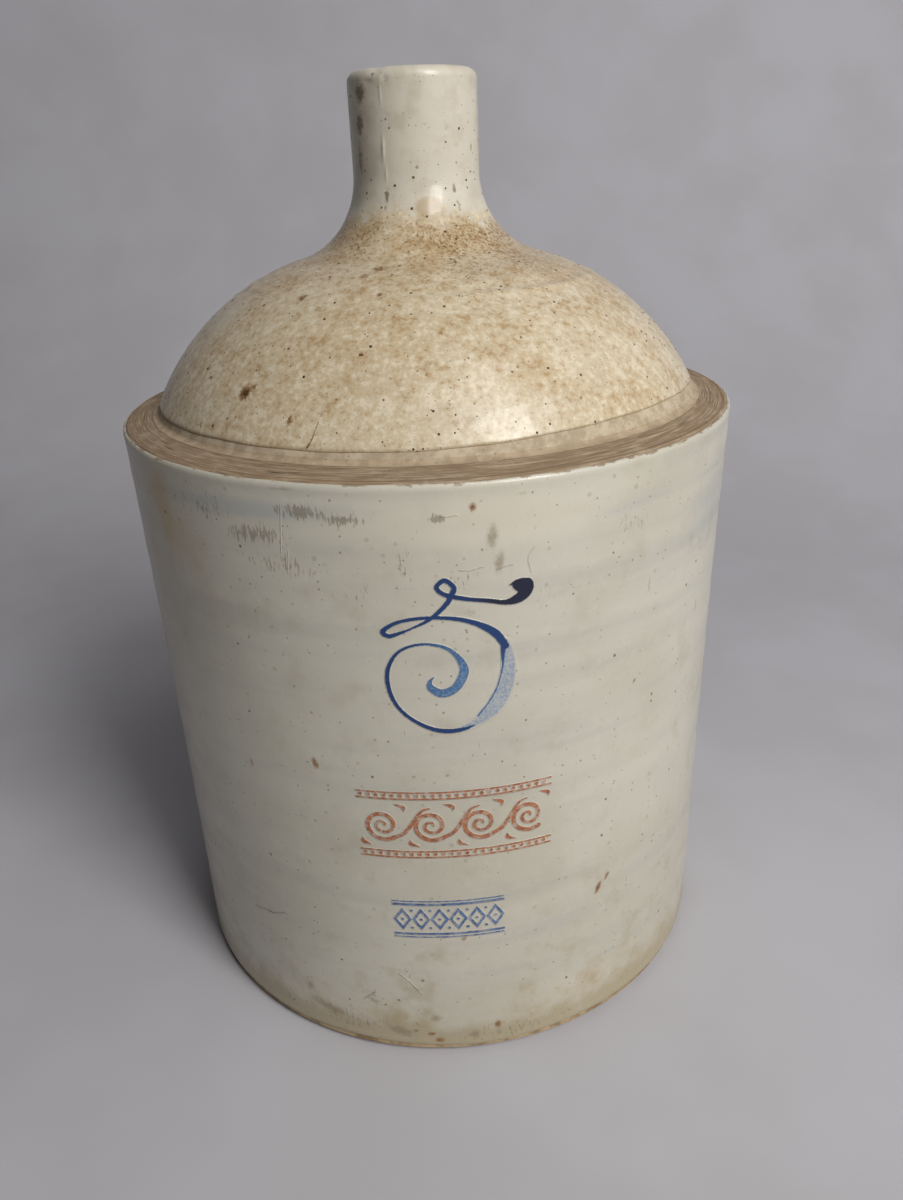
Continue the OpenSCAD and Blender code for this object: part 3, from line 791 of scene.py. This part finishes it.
# The same glaze on the top, fired in the flame's path: cream cells in a soft tan mottle, browner near
# the neck
def topGlazeFinish(name, cracked=False):
    material, tree, shader, place = newFinish(name)
    add, worn = partial(addNode, tree), partial(broken, tree)
    broad = add("TexNoise", {"Vector": place, "Scale": perMm(60)})
    patch, cells, fine = (
        add("TexNoise", {"Vector": place, "Scale": perMm(wide), "Detail": detail, "Roughness": rough})
        for wide, detail, rough in ((13, 4.0, 0.6), (3.4, 3.0, 0.6), (1.5, 3.0, 0.7)))
    level = add("Mapping", {"Vector": place, "Scale": (0.3, 0.3, 1.6)})
    wiped = add("TexNoise", {"Vector": level, "Scale": perMm(4), "Detail": 3.0, "Roughness": 0.6})
    toast, bore = (add("Attribute", {}, "Fac", attribute_name=mark) for mark in ("toast", "bore"))
    net = cells
    for part, much in ((fine, 0.6), (patch, 0.7), (toast, 0.07)):
        net = add("Math", {0: part, 1: much, 2: net}, operation="MULTIPLY_ADD")
    neck = layer(tree, "#cfc8b8", "#bcb4a0", patch, 0.45, 0.7, 0.7)
    freckles = dots(tree, place, 6, 0.9, 0.55)
    tone = layers(tree, "#cabb9e", [
        ("#c4b191", broad, 0.4, 0.62),
        ("#dcd0b8", net, 1.19, 0.93, 0.85),
        ("#a98a61", net, 1.18, 1.43, 0.8),
        ("#a0835b", worn("toast", wiped, 1.5), 1.1, 2.0, 0.45),
        ("#74552d", worn("toast", fine, 3.4), 2.55, 3.15, 0.75),
        (neck, worn("neck", cells, 1.6), 1.15, 1.65),
        ("#cbc3b0", worn("pale", patch, 0.6), 0.35, 1.1, 0.6),
        ("#ab946f", worn("blush", fine, 0.5), 0.55, 0.85, 0.6),
        ("#75624a", worn("scuff", fine, 1.7), 1.25, 1.8, 0.8),
        ("#82592c", worn("rust", fine, 1.2), 0.85, 1.35, 0.85),
        ("#452a14", worn("rust", fine, 1.2), 1.2, 1.6, 0.85),
        ("#83633b", freckles, 0.0, 1.0, 0.6),
        ("#5a4733", dots(tree, place, 6.5, 0.65, 0.55), 0.0, 1.0, 0.8),
        ("#6f583b", dots(tree, place, 2.9, 0.45, 0.5), 0.0, 1.0, 0.65),
        ("#9c8767", worn("rim", fine, 0.8), 0.7, 1.4, 0.4),
        ("#5e4028", bore, 0.0, 1.0),
    ])
    if cracked:
        tone = layer(tree, tone, "#65513a", worn("line", fine, 0.5), 0.12, 0.5, 0.9)
    # A clear skin mirrors the window sharply, over glass that is finely pitted and spreads its light
    shine = add("MapRange", {
        "Value": patch, "From Min": 0.25, "From Max": 0.75, "To Min": 0.3, "To Max": 0.4})
    skin = add("Math", {0: freckles, 1: -0.6, 2: cells}, operation="MULTIPLY_ADD")
    skin = add("Bump", {"Height": skin, "Strength": 0.2, "Distance": 0.2 * mm})
    feed(tree, shader, {
        "Base Color": tone, "Roughness": shine, "IOR": 1.5, "Specular IOR Level": 0.3,
        "Coat Weight": 0.24, "Coat Roughness": 0.05, "Normal": skin, "Coat Normal": skin,
    })
    return material


# Unglazed buff stoneware, turned with a steel rib: dry, with concentric lines that hold old dirt
def turnedClayFinish(name):
    material, tree, shader, place = newFinish(name)
    add, worn = partial(addNode, tree), partial(broken, tree)
    xyz = add("SeparateXYZ", {"Vector": place}).node.outputs
    level = add("CombineXYZ", {"X": xyz[0], "Y": xyz[1]})
    # The grain is long round the jug and narrow across it
    around = add("VectorMath", {0: level}, operation="NORMALIZE")
    stretch = ledge["grainR"] / ledge["grainLong"]
    around = add("VectorMath", {0: around, "Scale": stretch}, operation="SCALE")
    across = add("VectorMath", {0: level}, "Value", operation="LENGTH")
    across = add("Math", {0: across, 1: perMm(ledge["grainWide"])}, operation="MULTIPLY")
    lines = add("VectorMath", {0: around, 1: add("CombineXYZ", {"Z": across})}, operation="ADD")
    grain = add("TexNoise", {"Vector": lines, "Scale": 1.0, "Detail": 4.0, "Roughness": 0.65})
    patch = add("TexNoise", {"Vector": place, "Scale": perMm(14), "Detail": 4.0, "Roughness": 0.65})
    sand = add("TexNoise", {"Vector": place, "Scale": perMm(0.8), "Detail": 3.0, "Roughness": 0.7})
    tone = layers(tree, "#7a6650", [
        ("#b49e83", grain, 0.36, 0.7),
        ("#8a7359", patch, 0.42, 0.68, 0.6),
        ("#b6a38a", patch, 0.44, 0.3, 0.45),
        # Darker next to the dome's foot: painted shade in the corner, with some dirt
        ("#6a5a49", worn("corner", patch, 1.4), 0.8, 1.8, 0.35),
        ("#7a6146", worn("lip", patch, 0.8), 0.7, 1.4, 0.6),
        ("#45372a", worn("cut", sand, 0.3), 0.25, 0.5, 0.85),
        ("#5b4938", dots(tree, place, 3.2, 0.45, 0.35), 0.0, 1.0, 0.5),
    ])
    rough = add("Math", {0: grain, 1: sand}, operation="ADD")
    feed(tree, shader, {
        "Base Color": tone, "Roughness": 0.78, "IOR": 1.5,
        "Normal": add("Bump", {"Height": rough, "Strength": 0.4, "Distance": 0.25 * mm}),
    })
    return material


# Bare fired stoneware: foot, underside, slip and the wiped band at the dome's foot; sandy and quite dry
def bareClayFinish(name, light, dark):
    material, tree, shader, place = newFinish(name)
    add = partial(addNode, tree)
    patch, sand = (
        add("TexNoise", {"Vector": place, "Scale": perMm(wide), "Detail": detail, "Roughness": rough})
        for wide, detail, rough in ((7, 5.0, 0.68), (0.8, 4.0, 0.7)))
    tone = layers(tree, dark, [
        (light, patch, 0.38, 0.62),
        ("#6b5a45", dots(tree, place, 1.9, 0.5, 0.5), 0.0, 1.0, 0.6),
        ("#d3c8b2", dots(tree, place, 3.1, 0.6, 0.35), 0.0, 1.0, 0.5),
    ])
    feed(tree, shader, {
        "Base Color": tone, "Roughness": 0.8,
        "Normal": add("Bump", {"Height": sand, "Strength": 0.45, "Distance": 0.25 * mm}),
    })
    return material


# The brown slip glaze that lines such jugs: a dark iron clay melted to a glossy skin
def liningFinish(name):
    material, tree, shader, place = newFinish(name)
    add = partial(addNode, tree)
    patch = add("TexNoise", {"Vector": place, "Scale": perMm(24), "Detail": 4.0, "Roughness": 0.6})
    ripple = add("TexNoise", {"Vector": place, "Scale": perMm(5)})
    feed(tree, shader, {
        "Base Color": layer(tree, "#3f2818", "#6d4526", patch, 0.35, 0.65),
        "Roughness": add("MapRange", {"Value": patch, "To Min": 0.15, "To Max": 0.4}),
        "Normal": add("Bump", {"Height": ripple, "Strength": 0.2, "Distance": 0.2 * mm}),
    })
    return material


# Burnt iron in a glaze: near black, a little duller than the glass round it
def ironFinish(name):
    material, tree, shader, place = newFinish(name)
    mix = addNode(tree, "TexNoise", {"Vector": place, "Scale": perMm(8), "Detail": 3.0, "Roughness": 0.6})
    feed(tree, shader, {"Base Color": layer(tree, "#433021", "#77562f", mix, 0.4, 0.6), "Roughness": 0.4})
    return material


# A sheet of matt grey backing board
def floorFinish(name):
    material, tree, shader, place = newFinish(name)
    add = partial(addNode, tree)
    patch = add("TexNoise", {"Vector": place, "Scale": perMm(160), "Detail": 3.0, "Roughness": 0.55})
    nap = add("TexNoise", {"Vector": place, "Scale": perMm(2.2), "Detail": 3.0, "Roughness": 0.6})
    feed(tree, shader, {
        "Base Color": layer(tree, "#b6b4b8", "#bbbabf", patch, 0.35, 0.65), "Roughness": 0.75,
        "Normal": add("Bump", {"Height": nap, "Strength": 0.1, "Distance": 0.4 * mm}),
    })
    return material


def dress(piece, material):
    piece.data.materials.clear()
    piece.data.materials.append(material)


# Drawn marks: thin films on the glaze, cut to their drawing

# A smooth line through given points (across, up, width), sampled closely
def flowing(points, step=0.3):
    p = np.array(points, float)
    p = np.concatenate([2 * p[:1] - p[1:2], p, 2 * p[-1:] - p[-2:-1]])
    runs = []
    for k in range(1, len(p) - 2):
        count = max(2, int(np.linalg.norm(p[k + 1, :2] - p[k, :2]) / step))
        t = np.linspace(0, 1, count, endpoint=False)[:, None]
        a, b, c, d = p[k - 1:k + 3]
        runs.append(0.5 * (2 * b + (c - a) * t + (2 * a - 5 * b + 4 * c - d) * t ** 2
                           + (3 * b - a - 3 * c + d) * t ** 3))
    return np.concatenate(runs + [p[-2:-1]])


# How deep each place lies inside a stroke, in mm, and which share of the stroke it is at
def depthIn(stroke, x, y):
    best, where = np.full(x.shape, -9.0), np.zeros(x.shape)
    for k, (sx, sy, w) in enumerate(stroke):
        deep = w / 2 - np.hypot(x - sx, y - sy)
        where = np.where(deep > best, k / len(stroke), where)
        best = np.maximum(best, deep)
    return best, where


bodyPlace = (bodyLine, bodyRelief, bodyMarks)
topPlace = (topLine, topRelief, topMarks)


# One film: the cells of a grid that the drawing fills, with their border drawn in or out to its edge. It
# lies a little proud of the glaze, with its back inside it. Gives points, faces, border faces and values
def filmOf(at, drawing, proud=0.05, sunk=0.25):
    shape, relief, painted = at["on"]
    step = at["step"]
    x, y = np.meshgrid(*(np.arange(-at[way] / 2, at[way] / 2, step) for way in ("wide", "high")))
    edge = drawing(x, y)["edge"]
    deep = edge > 0.35 * step
    cell = deep[:-1, :-1] | deep[1:, :-1] | deep[:-1, 1:] | deep[1:, 1:]
    for _ in range(6):       # cells that would meet at one corner only get a neighbour
        cell[:-1, 1:] |= cell[:-1, :-1] & cell[1:, 1:] & ~cell[1:, :-1]
        cell[:-1, :-1] |= cell[:-1, 1:] & cell[1:, :-1] & ~cell[1:, 1:]
    ringed = np.pad(cell, 1)
    corners = [ringed[di:di + edge.shape[0], dj:dj + edge.shape[1]] for di in (0, 1) for dj in (0, 1)]
    count = np.sum(corners, axis=0)
    slopeY, slopeX = np.gradient(edge, step)
    steep = np.maximum(slopeX ** 2 + slopeY ** 2, 0.3)
    pull = np.where((count > 0) & (count < 4), np.clip(edge, -step, step), 0) / steep
    x, y = x - pull * slopeX, y - pull * slopeY
    used = count > 0
    n = int(used.sum())
    index = np.cumsum(used).reshape(used.shape) - 1
    i, j = np.nonzero(cell)
    front = np.stack([index[i, j], index[i, j + 1], index[i + 1, j + 1], index[i + 1, j]], 1)
    border = []
    for k, (di, dj) in enumerate([(-1, 0), (0, 1), (1, 0), (0, -1)]):
        free = ~ringed[i + 1 + di, j + 1 + dj]
        p, q = front[free, k], front[free, (k + 1) % 4]
        border.append(np.stack([q, p, p + n, q + n], 1))
    x, y = x[used], y[used]
    s = at["s"] + y
    r, z, nr, nz = along(shape, s)
    a = rad(at["azimuth"]) + x / r
    high = relief(a, s)
    points = np.concatenate([turned(r + nr * h, z + nz * h, a) for h in (high + proud, high - sunk)])
    values = painted(a, s) | {key: value for key, value in drawing(x, y).items() if key != "edge"}
    return points, np.concatenate([front, front[:, ::-1] + n]), np.concatenate(border), values


# One object of several films
def filmMesh(name, films):
    counts = [len(film[0]) for film in films]
    starts = np.cumsum([0] + counts)
    points = np.concatenate([film[0] for film in films])
    faces, border = (
        np.concatenate([film[k] + start for film, start in zip(films, starts)]) for k in (1, 2))
    piece = meshFrom(name, points, np.concatenate([faces, border]), len(border))
    for key in films[0][3]:
        values = [np.pad(np.reshape(film[3][key], -1), (0, count - np.size(film[3][key])))
                  for film, count in zip(films, counts)]
        paint(piece, {key: np.concatenate(values)})
    return piece


# The brushed numeral 5: a flag, a looped neck and a sweep that thins to a wash, and a return that curls in
numeral = {
    "on": bodyPlace, "azimuth": 3.0, "s": lengthAt(bodyLine, 229.0), "wide": 76, "high": 80, "step": 0.36,
    "dark": [
        [(21.6, 30.6, 0.5), (24.2, 31.6, 2), (27.2, 31.2, 3.6), (29.7, 31.0, 2.6), (28.6, 27.8, 5.6),
         (25.4, 24.5, 4.6), (19.8, 23.2, 2.4), (12.6, 24.8, 2.0), (5, 26.2, 1.9), (-2.4, 28.1, 2.2),
         (-6, 29.8, 2), (-7.7, 32.6, 2), (-4.5, 35.1, 2.1), (-1.0, 31.8, 2.2), (-2.4, 27.8, 2.4),
         (-4.6, 24.2, 2.1), (-11, 18.3, 1.7), (-18.5, 14.4, 1), (-24, 12.1, 1.6), (-28, 11.0, 2),
         (-30.3, 12.9, 2.2), (-27.3, 15.6, 1.8), (-22.4, 17.7, 1.6), (-14.4, 18.9, 1.6), (-3, 18.3, 1.8),
         (6.5, 15.6, 2.3), (15, 10.2, 3.5), (19.4, 3.6, 3.2)],
        [(23.4, 30.2, 2.0), (25.4, 29.2, 4.0), (27.4, 28.6, 5.0)],
        [(18.7, 5.5, 2.8), (18.3, 0, 1.8), (18.2, -5, 1.0), (17.3, -10, 0.8), (15.4, -16.5, 0.8),
         (11.6, -23, 0.8), (7.2, -28.5, 0.9)],
        [(5.5, -33.2, 0.8), (1, -34.7, 1.9), (-5.5, -35.2, 2.3), (-12, -33.8, 2.1), (-19.2, -29.7, 1.8),
         (-25.6, -23.4, 1.7), (-29, -16, 1.9), (-29.8, -7.6, 2), (-28, -1.2, 1.7), (-24.2, 3.9, 1.4),
         (-18.6, 6.6, 1.2), (-12.1, 7.1, 1.2), (-5.4, 5.2, 1.5), (-1.2, 1.6, 2.1), (1.6, -3.4, 3.3),
         (1.8, -7.8, 4), (-1.8, -14.2, 3.9), (-7.2, -16.4, 4), (-11.6, -13.9, 3.2), (-12.3, -10.8, 1.8),
         (-10.3, -8.2, 0.4)],
    ],
    "wash": [
        [(19.6, 5.5, 2.5), (20.6, -3, 5.4), (20.5, -11, 6.0), (17.6, -20.5, 6.6), (12.2, -27.4, 5.8),
         (5.6, -32.2, 3.6), (-0.5, -34.6, 2)],
    ],
    # How the brush's load falls along each dark stroke: 0 pooled black-blue, 0.5 plain blue, 1 pale
    "load": [[(0, 0), (0.16, 0.02), (0.24, 0.22), (0.4, 0.3), (0.7, 0.36), (1, 0.4)],
             [(0, 0), (1, 0.02)],
             [(0, 0.4), (0.35, 0.6), (1, 0.75)],
             [(0, 0.5), (0.06, 0.34), (0.45, 0.36), (0.6, 0.5), (0.7, 0.72), (0.8, 0.85), (1, 0.78)]],
}


def drawNumeral(x, y):
    dark, load = np.full(x.shape, -9.0), np.zeros(x.shape)
    for stroke, table in zip(numeral["dark"], numeral["load"]):
        deep, where = depthIn(flowing(stroke), x, y)
        load = np.where(deep > dark, np.interp(where, *np.array(table).T), load)
        dark = np.maximum(dark, deep)
    wash = np.max([depthIn(flowing(stroke), x, y)[0] for stroke in numeral["wash"]], axis=0)
    return {"line": dark, "wash": wash, "tone": load, "edge": np.maximum(dark + 0.3, wash + 0.8)}


# A stamped running scroll: linked spirals between beaded rules
scroll = {
    "on": bodyPlace, "azimuth": 1.5, "s": lengthAt(bodyLine, 144.0), "wide": 98, "high": 42, "step": 0.4,
    "spirals": 4, "pitch": 22.0, "radius": 8.4, "turns": 1.8, "start": 18, "pen": 1.9,
    "rule": 14.6, "gap": 3.4, "rulePen": 1.0, "beadEvery": 3.6, "bead": 1.9,
    # Strokes as (across, up, width): a link, from a spiral's end and from its centre, and a dash
    "leave": [(0, 0, 2.3), (5.5, 3.6, 2.0)],
    "arrive": [(17.16, 7.2, 1.5), (21.56, 9.6, 0.7)],
    "dash": [(9.8, 8.0, 0.5), (9.6, 10.2, 2.0), (6.0, 11.6, 0.6)],
}


def scrollStrokes():
    c = scroll
    strokes = []
    for k in range(c["spirals"]):
        centre = (k - (c["spirals"] - 1) / 2) * c["pitch"]
        t = np.linspace(0, 1, 90)
        size = 1 + (c["radius"] - 1) * t
        angle = tau * c["turns"] * t + rad(c["start"])
        pen = c["pen"] * (0.7 + 0.6 * t)
        coil = np.stack([centre + size * np.cos(angle), size * np.sin(angle), pen], 1)
        strokes.append(coil)
        endX, endY = coil[-1, :2]
        if k < c["spirals"] - 1:
            link = [(endX + x, endY + y, width) for x, y, width in c["leave"]]
            link += [(centre + x, y, width) for x, y, width in c["arrive"]]
            strokes.append(flowing(link))
        for side in (-1, 1):          # dashes that fill the corners over and under each spiral
            strokes.append(flowing([(centre + side * x, side * y, width) for x, y, width in c["dash"]]))
    reachX = c["spirals"] * c["pitch"] / 2
    for side in (-1, 1):
        for rise in (0, c["gap"]):
            x = np.arange(-reachX, reachX, 0.3)
            strokes.append(np.stack([x, 0 * x + side * (c["rule"] + rise), 0 * x + c["rulePen"]], 1))
        for x in np.arange(-reachX + c["beadEvery"] / 2, reachX, c["beadEvery"]):
            strokes.append([(x, side * (c["rule"] + c["gap"] / 2), c["bead"])])
    return strokes


def drawScroll(x, y):
    line = np.max([depthIn(stroke, x, y)[0] for stroke in scrollStrokes()], axis=0)
    return {"line": line, "edge": line + 0.3}


# A short stamped row of outlined lozenges with dots between two rules
lozenges = {
    "on": bodyPlace, "azimuth": -0.5, "s": lengthAt(bodyLine, 89.0), "wide": 60, "high": 26, "step": 0.34,
    "count": 6, "pitch": 8.8, "halfW": 3.6, "halfH": 5.4, "pen": 1.45, "dot": 0.8, "sideDot": 5.2,
    "rules": [(9.0, 1.45), (10.9, 0.87)],     # each (distance from the middle, width)
}


def drawLozenges(x, y):
    c = lozenges
    line = np.full(x.shape, -9.0)
    reachX = c["count"] * c["pitch"] / 2
    slope = math.hypot(c["halfW"], c["halfH"])
    for k in range(c["count"]):
        dx = x - (k - (c["count"] - 1) / 2) * c["pitch"]
        inside = (c["halfW"] * c["halfH"] - np.abs(dx) * c["halfH"] - np.abs(y) * c["halfW"]) / slope
        line = np.maximum(line, c["pen"] / 2 - np.abs(inside))
        line = np.maximum(line, c["dot"] - np.hypot(dx, y))
        if k:
            line = np.maximum(line, c["dot"] - np.hypot(dx + c["pitch"] / 2, np.abs(y) - c["sideDot"]))
    for rise, pen in c["rules"]:
        rule = pen / 2 - np.abs(np.abs(y) - rise)
        line = np.maximum(line, np.minimum(rule, reachX - np.abs(x)))
    return {"line": line, "edge": line + 0.3}


# Hairline scratches and stains in the body's glaze: width in mm, then points as (azimuth, z)
hairlines = [
    (0.5, [(15.3, 274.9), (14.4, 272.0), (14.2, 268.8), (14.7, 264.0)]),
    (0.5, [(1.0, 291.0), (2.1, 290.8), (3.6, 291.2)]),
    (0.25, [(-22.9, 294.9), (-23.4, 284.6), (-23.9, 274.4)]),
    (0.25, [(-22.6, 274.9), (-23.1, 265.2)]),
    (1.0, [(-42.9, 68.1), (-39.6, 69.9), (-37.1, 71.0), (-34.1, 74.9)]),
    (0.7, [(-10.5, 53.2), (-8.4, 47.8), (-6.4, 40.3)]),
    (0.9, [(-36.9, 19.6), (-35.7, 15.1)]),
    (0.8, [(-17.9, 33.4), (-16.4, 36.8), (-15.7, 36.6)]),
    (0.6, [(9.4, 267.1), (10.6, 268.0), (11.8, 268.4)]),
    (0.5, [(3.5, 268.0), (5.2, 267.8), (7.3, 268.8)]),
    (0.8, [(55.5, 219.4), (55.5, 214.4)]),
    (0.5, [(38.0, 246.6), (38.0, 240.7)]),
    (0.4, [(122, 210), (123, 196), (123.4, 181)]),
    (0.7, [(-101, 66), (-97, 69), (-94, 67)]),
    (0.5, [(161, 290), (162, 276), (161.4, 268)]),
]


def makeHairlines():
    films = []
    for width, points in hairlines:
        spots = np.array(points)
        low, high = spots.min(0), spots.max(0)
        azimuth, z = (low + high) / 2
        stroke = [((a - azimuth) * rad(1) * jug["footR"], up - z, width) for a, up in points]
        room = (high - low) * (rad(1) * jug["footR"], 1) + 3
        at = {"on": bodyPlace, "azimuth": azimuth, "s": lengthAt(bodyLine, z),
              "wide": room[0], "high": room[1], "step": 0.25}

        def draw(x, y, stroke=stroke):
            line = depthIn(flowing(stroke, 0.2), x, y)[0]
            return {"line": line, "edge": line + 0.15}

        films.append(filmOf(at, draw))
    return filmMesh("hairlines", films)


# A firing crack that runs up from the dome's foot
crack = {
    "on": topPlace, "azimuth": -20.8, "s": 10.5, "wide": 16, "high": 17, "step": 0.22,
    "stroke": [(-1.3, -5.0, 1.1), (-0.9, -3.9, 0.8), (0.3, -1.9, 0.5), (0.8, 0.6, 0.45), (1.6, 3.2, 0.5),
               (2.1, 5.4, 0.35)],
}


def drawCrack(x, y):
    line = depthIn(flowing(crack["stroke"], 0.15), x, y)[0]
    return {"line": line, "edge": line + 0.15}


# Building

finishes = {
    "body": bodyGlazeFinish("greyWhiteFelsparGlaze"),
    "cobalt": bodyGlazeFinish("cobaltUnderFelsparGlaze", cobaltInk),
    "rustStamp": bodyGlazeFinish("ironRedStampUnderGlaze", partial(stampInk, "#8b421b", "#ad6638", 0.35)),
    "blueStamp": bodyGlazeFinish("cobaltStampUnderGlaze", partial(stampInk, "#1b467c", "#43699b", 0.5)),
    "scratch": bodyGlazeFinish("dirtInGlazeScratches", scratchInk),
    "top": topGlazeFinish("mottledCreamGlaze"),
    "crack": topGlazeFinish("crackInCreamGlaze", cracked=True),
    "ledge": turnedClayFinish("ribTurnedBareStoneware"),
    "band": bareClayFinish("wipedBareStoneware", "#c2b299", "#a8977e"),
    "foot": bareClayFinish("bareFiredBuffStoneware", "#b9a27e", "#8f7755"),
    "slip": bareClayFinish("firedSlip", "#b6a287", "#a08d73"),
    "lining": liningFinish("ironBrownSlipGlaze"),
    "iron": ironFinish("burntIronSpeck"),
}
print("finishes made:", len(finishes))

bodyGlaze = makeBodyGlaze()
topGlaze = makeTopGlaze()
ledgeRing = makeLedge()
print("coats and ledge made")
handleCoat = makeHandle(finishes["top"])
ironSpecks = makeSpecks(topGlaze, finishes["iron"])
print("handle and specks grown:", len(ironSpecks.data.polygons), "speck faces")
numeralFilm = filmMesh("numeral", [filmOf(numeral, drawNumeral)])
scrollFilm = filmMesh("scroll_band", [filmOf(scroll, drawScroll)])
lozengeFilm = filmMesh("lozenge_row", [filmOf(lozenges, drawLozenges)])
hairlineFilm = makeHairlines()
crackFilm = filmMesh("dome_crack", [filmOf(crack, drawCrack, 0.07)])
print("marks drawn")

for piece, finish, slot, *nodes in (
    (bodyGlaze, "body", "body_coat", "body_glaze"),
    (topGlaze, "top", "top_coat", "top_glaze"),
    (ledgeRing, "ledge", "buff_clay", "shoulder_ring"),
    (handleCoat, "top", "top_coat", "handle_glaze"),
    (ironSpecks, "iron", "top_coat"),
    (numeralFilm, "cobalt", "body_coat"),
    (scrollFilm, "rustStamp", "body_coat"),
    (lozengeFilm, "blueStamp", "body_coat"),
    (hairlineFilm, "scratch", "body_coat"),
    (crackFilm, "crack", "top_coat"),
):
    dress(piece, finishes[finish])
    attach(piece, "root")
    if nodes:
        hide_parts(*nodes)

for node, finish in (("body", "foot"), ("dome", "band"), ("neck", "lining"), ("handle", "band"),
                     ("shoulder_slip", "slip"), ("dome_slip", "slip"), ("neck_slip", "slip"),
                     ("handle_slip", "slip"), ("lining_glaze", "lining")):
    dress(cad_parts[node], finishes[finish])


# Floor, light and camera

studio = {
    "floorHalf": 2.6, "wallFrom": 0.45, "bend": 0.7, "wallTop": 2.6, "cell": 0.2, "bendCell": 0.05,
    "columns": 20,
}


def makeFloor():
    s = studio
    bend = arc((s["wallFrom"], s["bend"]), s["bend"], -90, 0, s["bendCell"])
    flat = line((-s["floorHalf"], 0), (s["wallFrom"], 0), s["cell"])
    wall = line(bend[-1], (bend[-1][0], s["wallTop"]), s["cell"])
    profile = np.concatenate([flat, bend[1:], wall[1:]])
    across = np.linspace(-s["floorHalf"], s["floorHalf"], s["columns"])
    points = [(x, y, z) for y, z in profile for x in across]
    cols = s["columns"]
    quads = [(i * cols + j, i * cols + j + 1, (i + 1) * cols + j + 1, (i + 1) * cols + j)
             for i in range(len(profile) - 1) for j in range(cols - 1)]
    mesh = bpy.data.meshes.new("floor")
    mesh.from_pydata(points, [], quads)
    mesh.shade_smooth()
    floor = bpy.data.objects.new("floor", mesh)
    bpy.context.scene.collection.objects.link(floor)
    dress(floor, floorFinish("mattGreyBoard"))


makeFloor()


# An area lamp that faces a point, by its distance, azimuth and elevation seen from there
def lamp(name, target, distance, azimuth, elevation, width, height, power, tint):
    a, e = rad(azimuth), rad(elevation)
    away = Vector((math.sin(a) * math.cos(e), -math.cos(a) * math.cos(e), math.sin(e)))
    data = bpy.data.lights.new(name, "AREA")
    data.shape, data.size, data.size_y = "RECTANGLE", width, height
    data.energy, data.color = power, colour(tint)[:3]
    light = bpy.data.objects.new(name, data)
    light.location = Vector(target) + away * distance
    light.rotation_mode = "QUATERNION"
    light.rotation_quaternion = (-away).to_track_quat("-Z", "Y")
    bpy.context.scene.collection.objects.link(light)


domeFace = (0.03, -0.12, 0.32)
lamp("window", domeFace, 2.4, 37.5, 34.5, 0.9, 1.3, 47, "#fffefc")
lamp("wall", domeFace, 2.4, 80, 20, 1.8, 1.4, 6, "#fbfcff")
lamp("upperWindow", domeFace, 2.2, 36, 56, 1.0, 1.0, 13, "#fffdfa")

world = bpy.data.worlds.new("studio")
bpy.context.scene.world = world
world.use_nodes = True
sky = world.node_tree.nodes["Background"].inputs
sky["Color"].default_value = colour("#f0f1f8")
sky["Strength"].default_value = 0.055
bpy.context.scene.view_settings.view_transform = "Standard"

# The photograph was taken from just under the lip, close up, with the camera a little askew
shot = {
    "eye": (0, -0.4927, 0.41336), "down": 0.43221, "turned": 0.017125, "roll": -0.040659, "focal": 950,
    "longSide": 1200,
}
ahead = Vector((math.sin(shot["turned"]), math.cos(shot["turned"]), 0))
forward = ahead * math.cos(shot["down"]) - Vector((0, 0, math.sin(shot["down"])))
levelRight = Vector((math.cos(shot["turned"]), -math.sin(shot["turned"]), 0))
levelUp = levelRight.cross(forward)
right = levelRight * math.cos(shot["roll"]) + levelUp * math.sin(shot["roll"])
up = levelUp * math.cos(shot["roll"]) - levelRight * math.sin(shot["roll"])
lens = bpy.data.cameras.new("camera")
lens.sensor_width = 36
lens.lens = 36 * shot["focal"] / shot["longSide"]
lens.clip_start, lens.clip_end = 0.02, 20
camera = bpy.data.objects.new("camera", lens)
camera.matrix_world = Matrix.Translation(shot["eye"]) @ Matrix((right, up, -forward)).transposed().to_4x4()
bpy.context.scene.collection.objects.link(camera)
bpy.context.scene.camera = camera
print("lights and camera set")
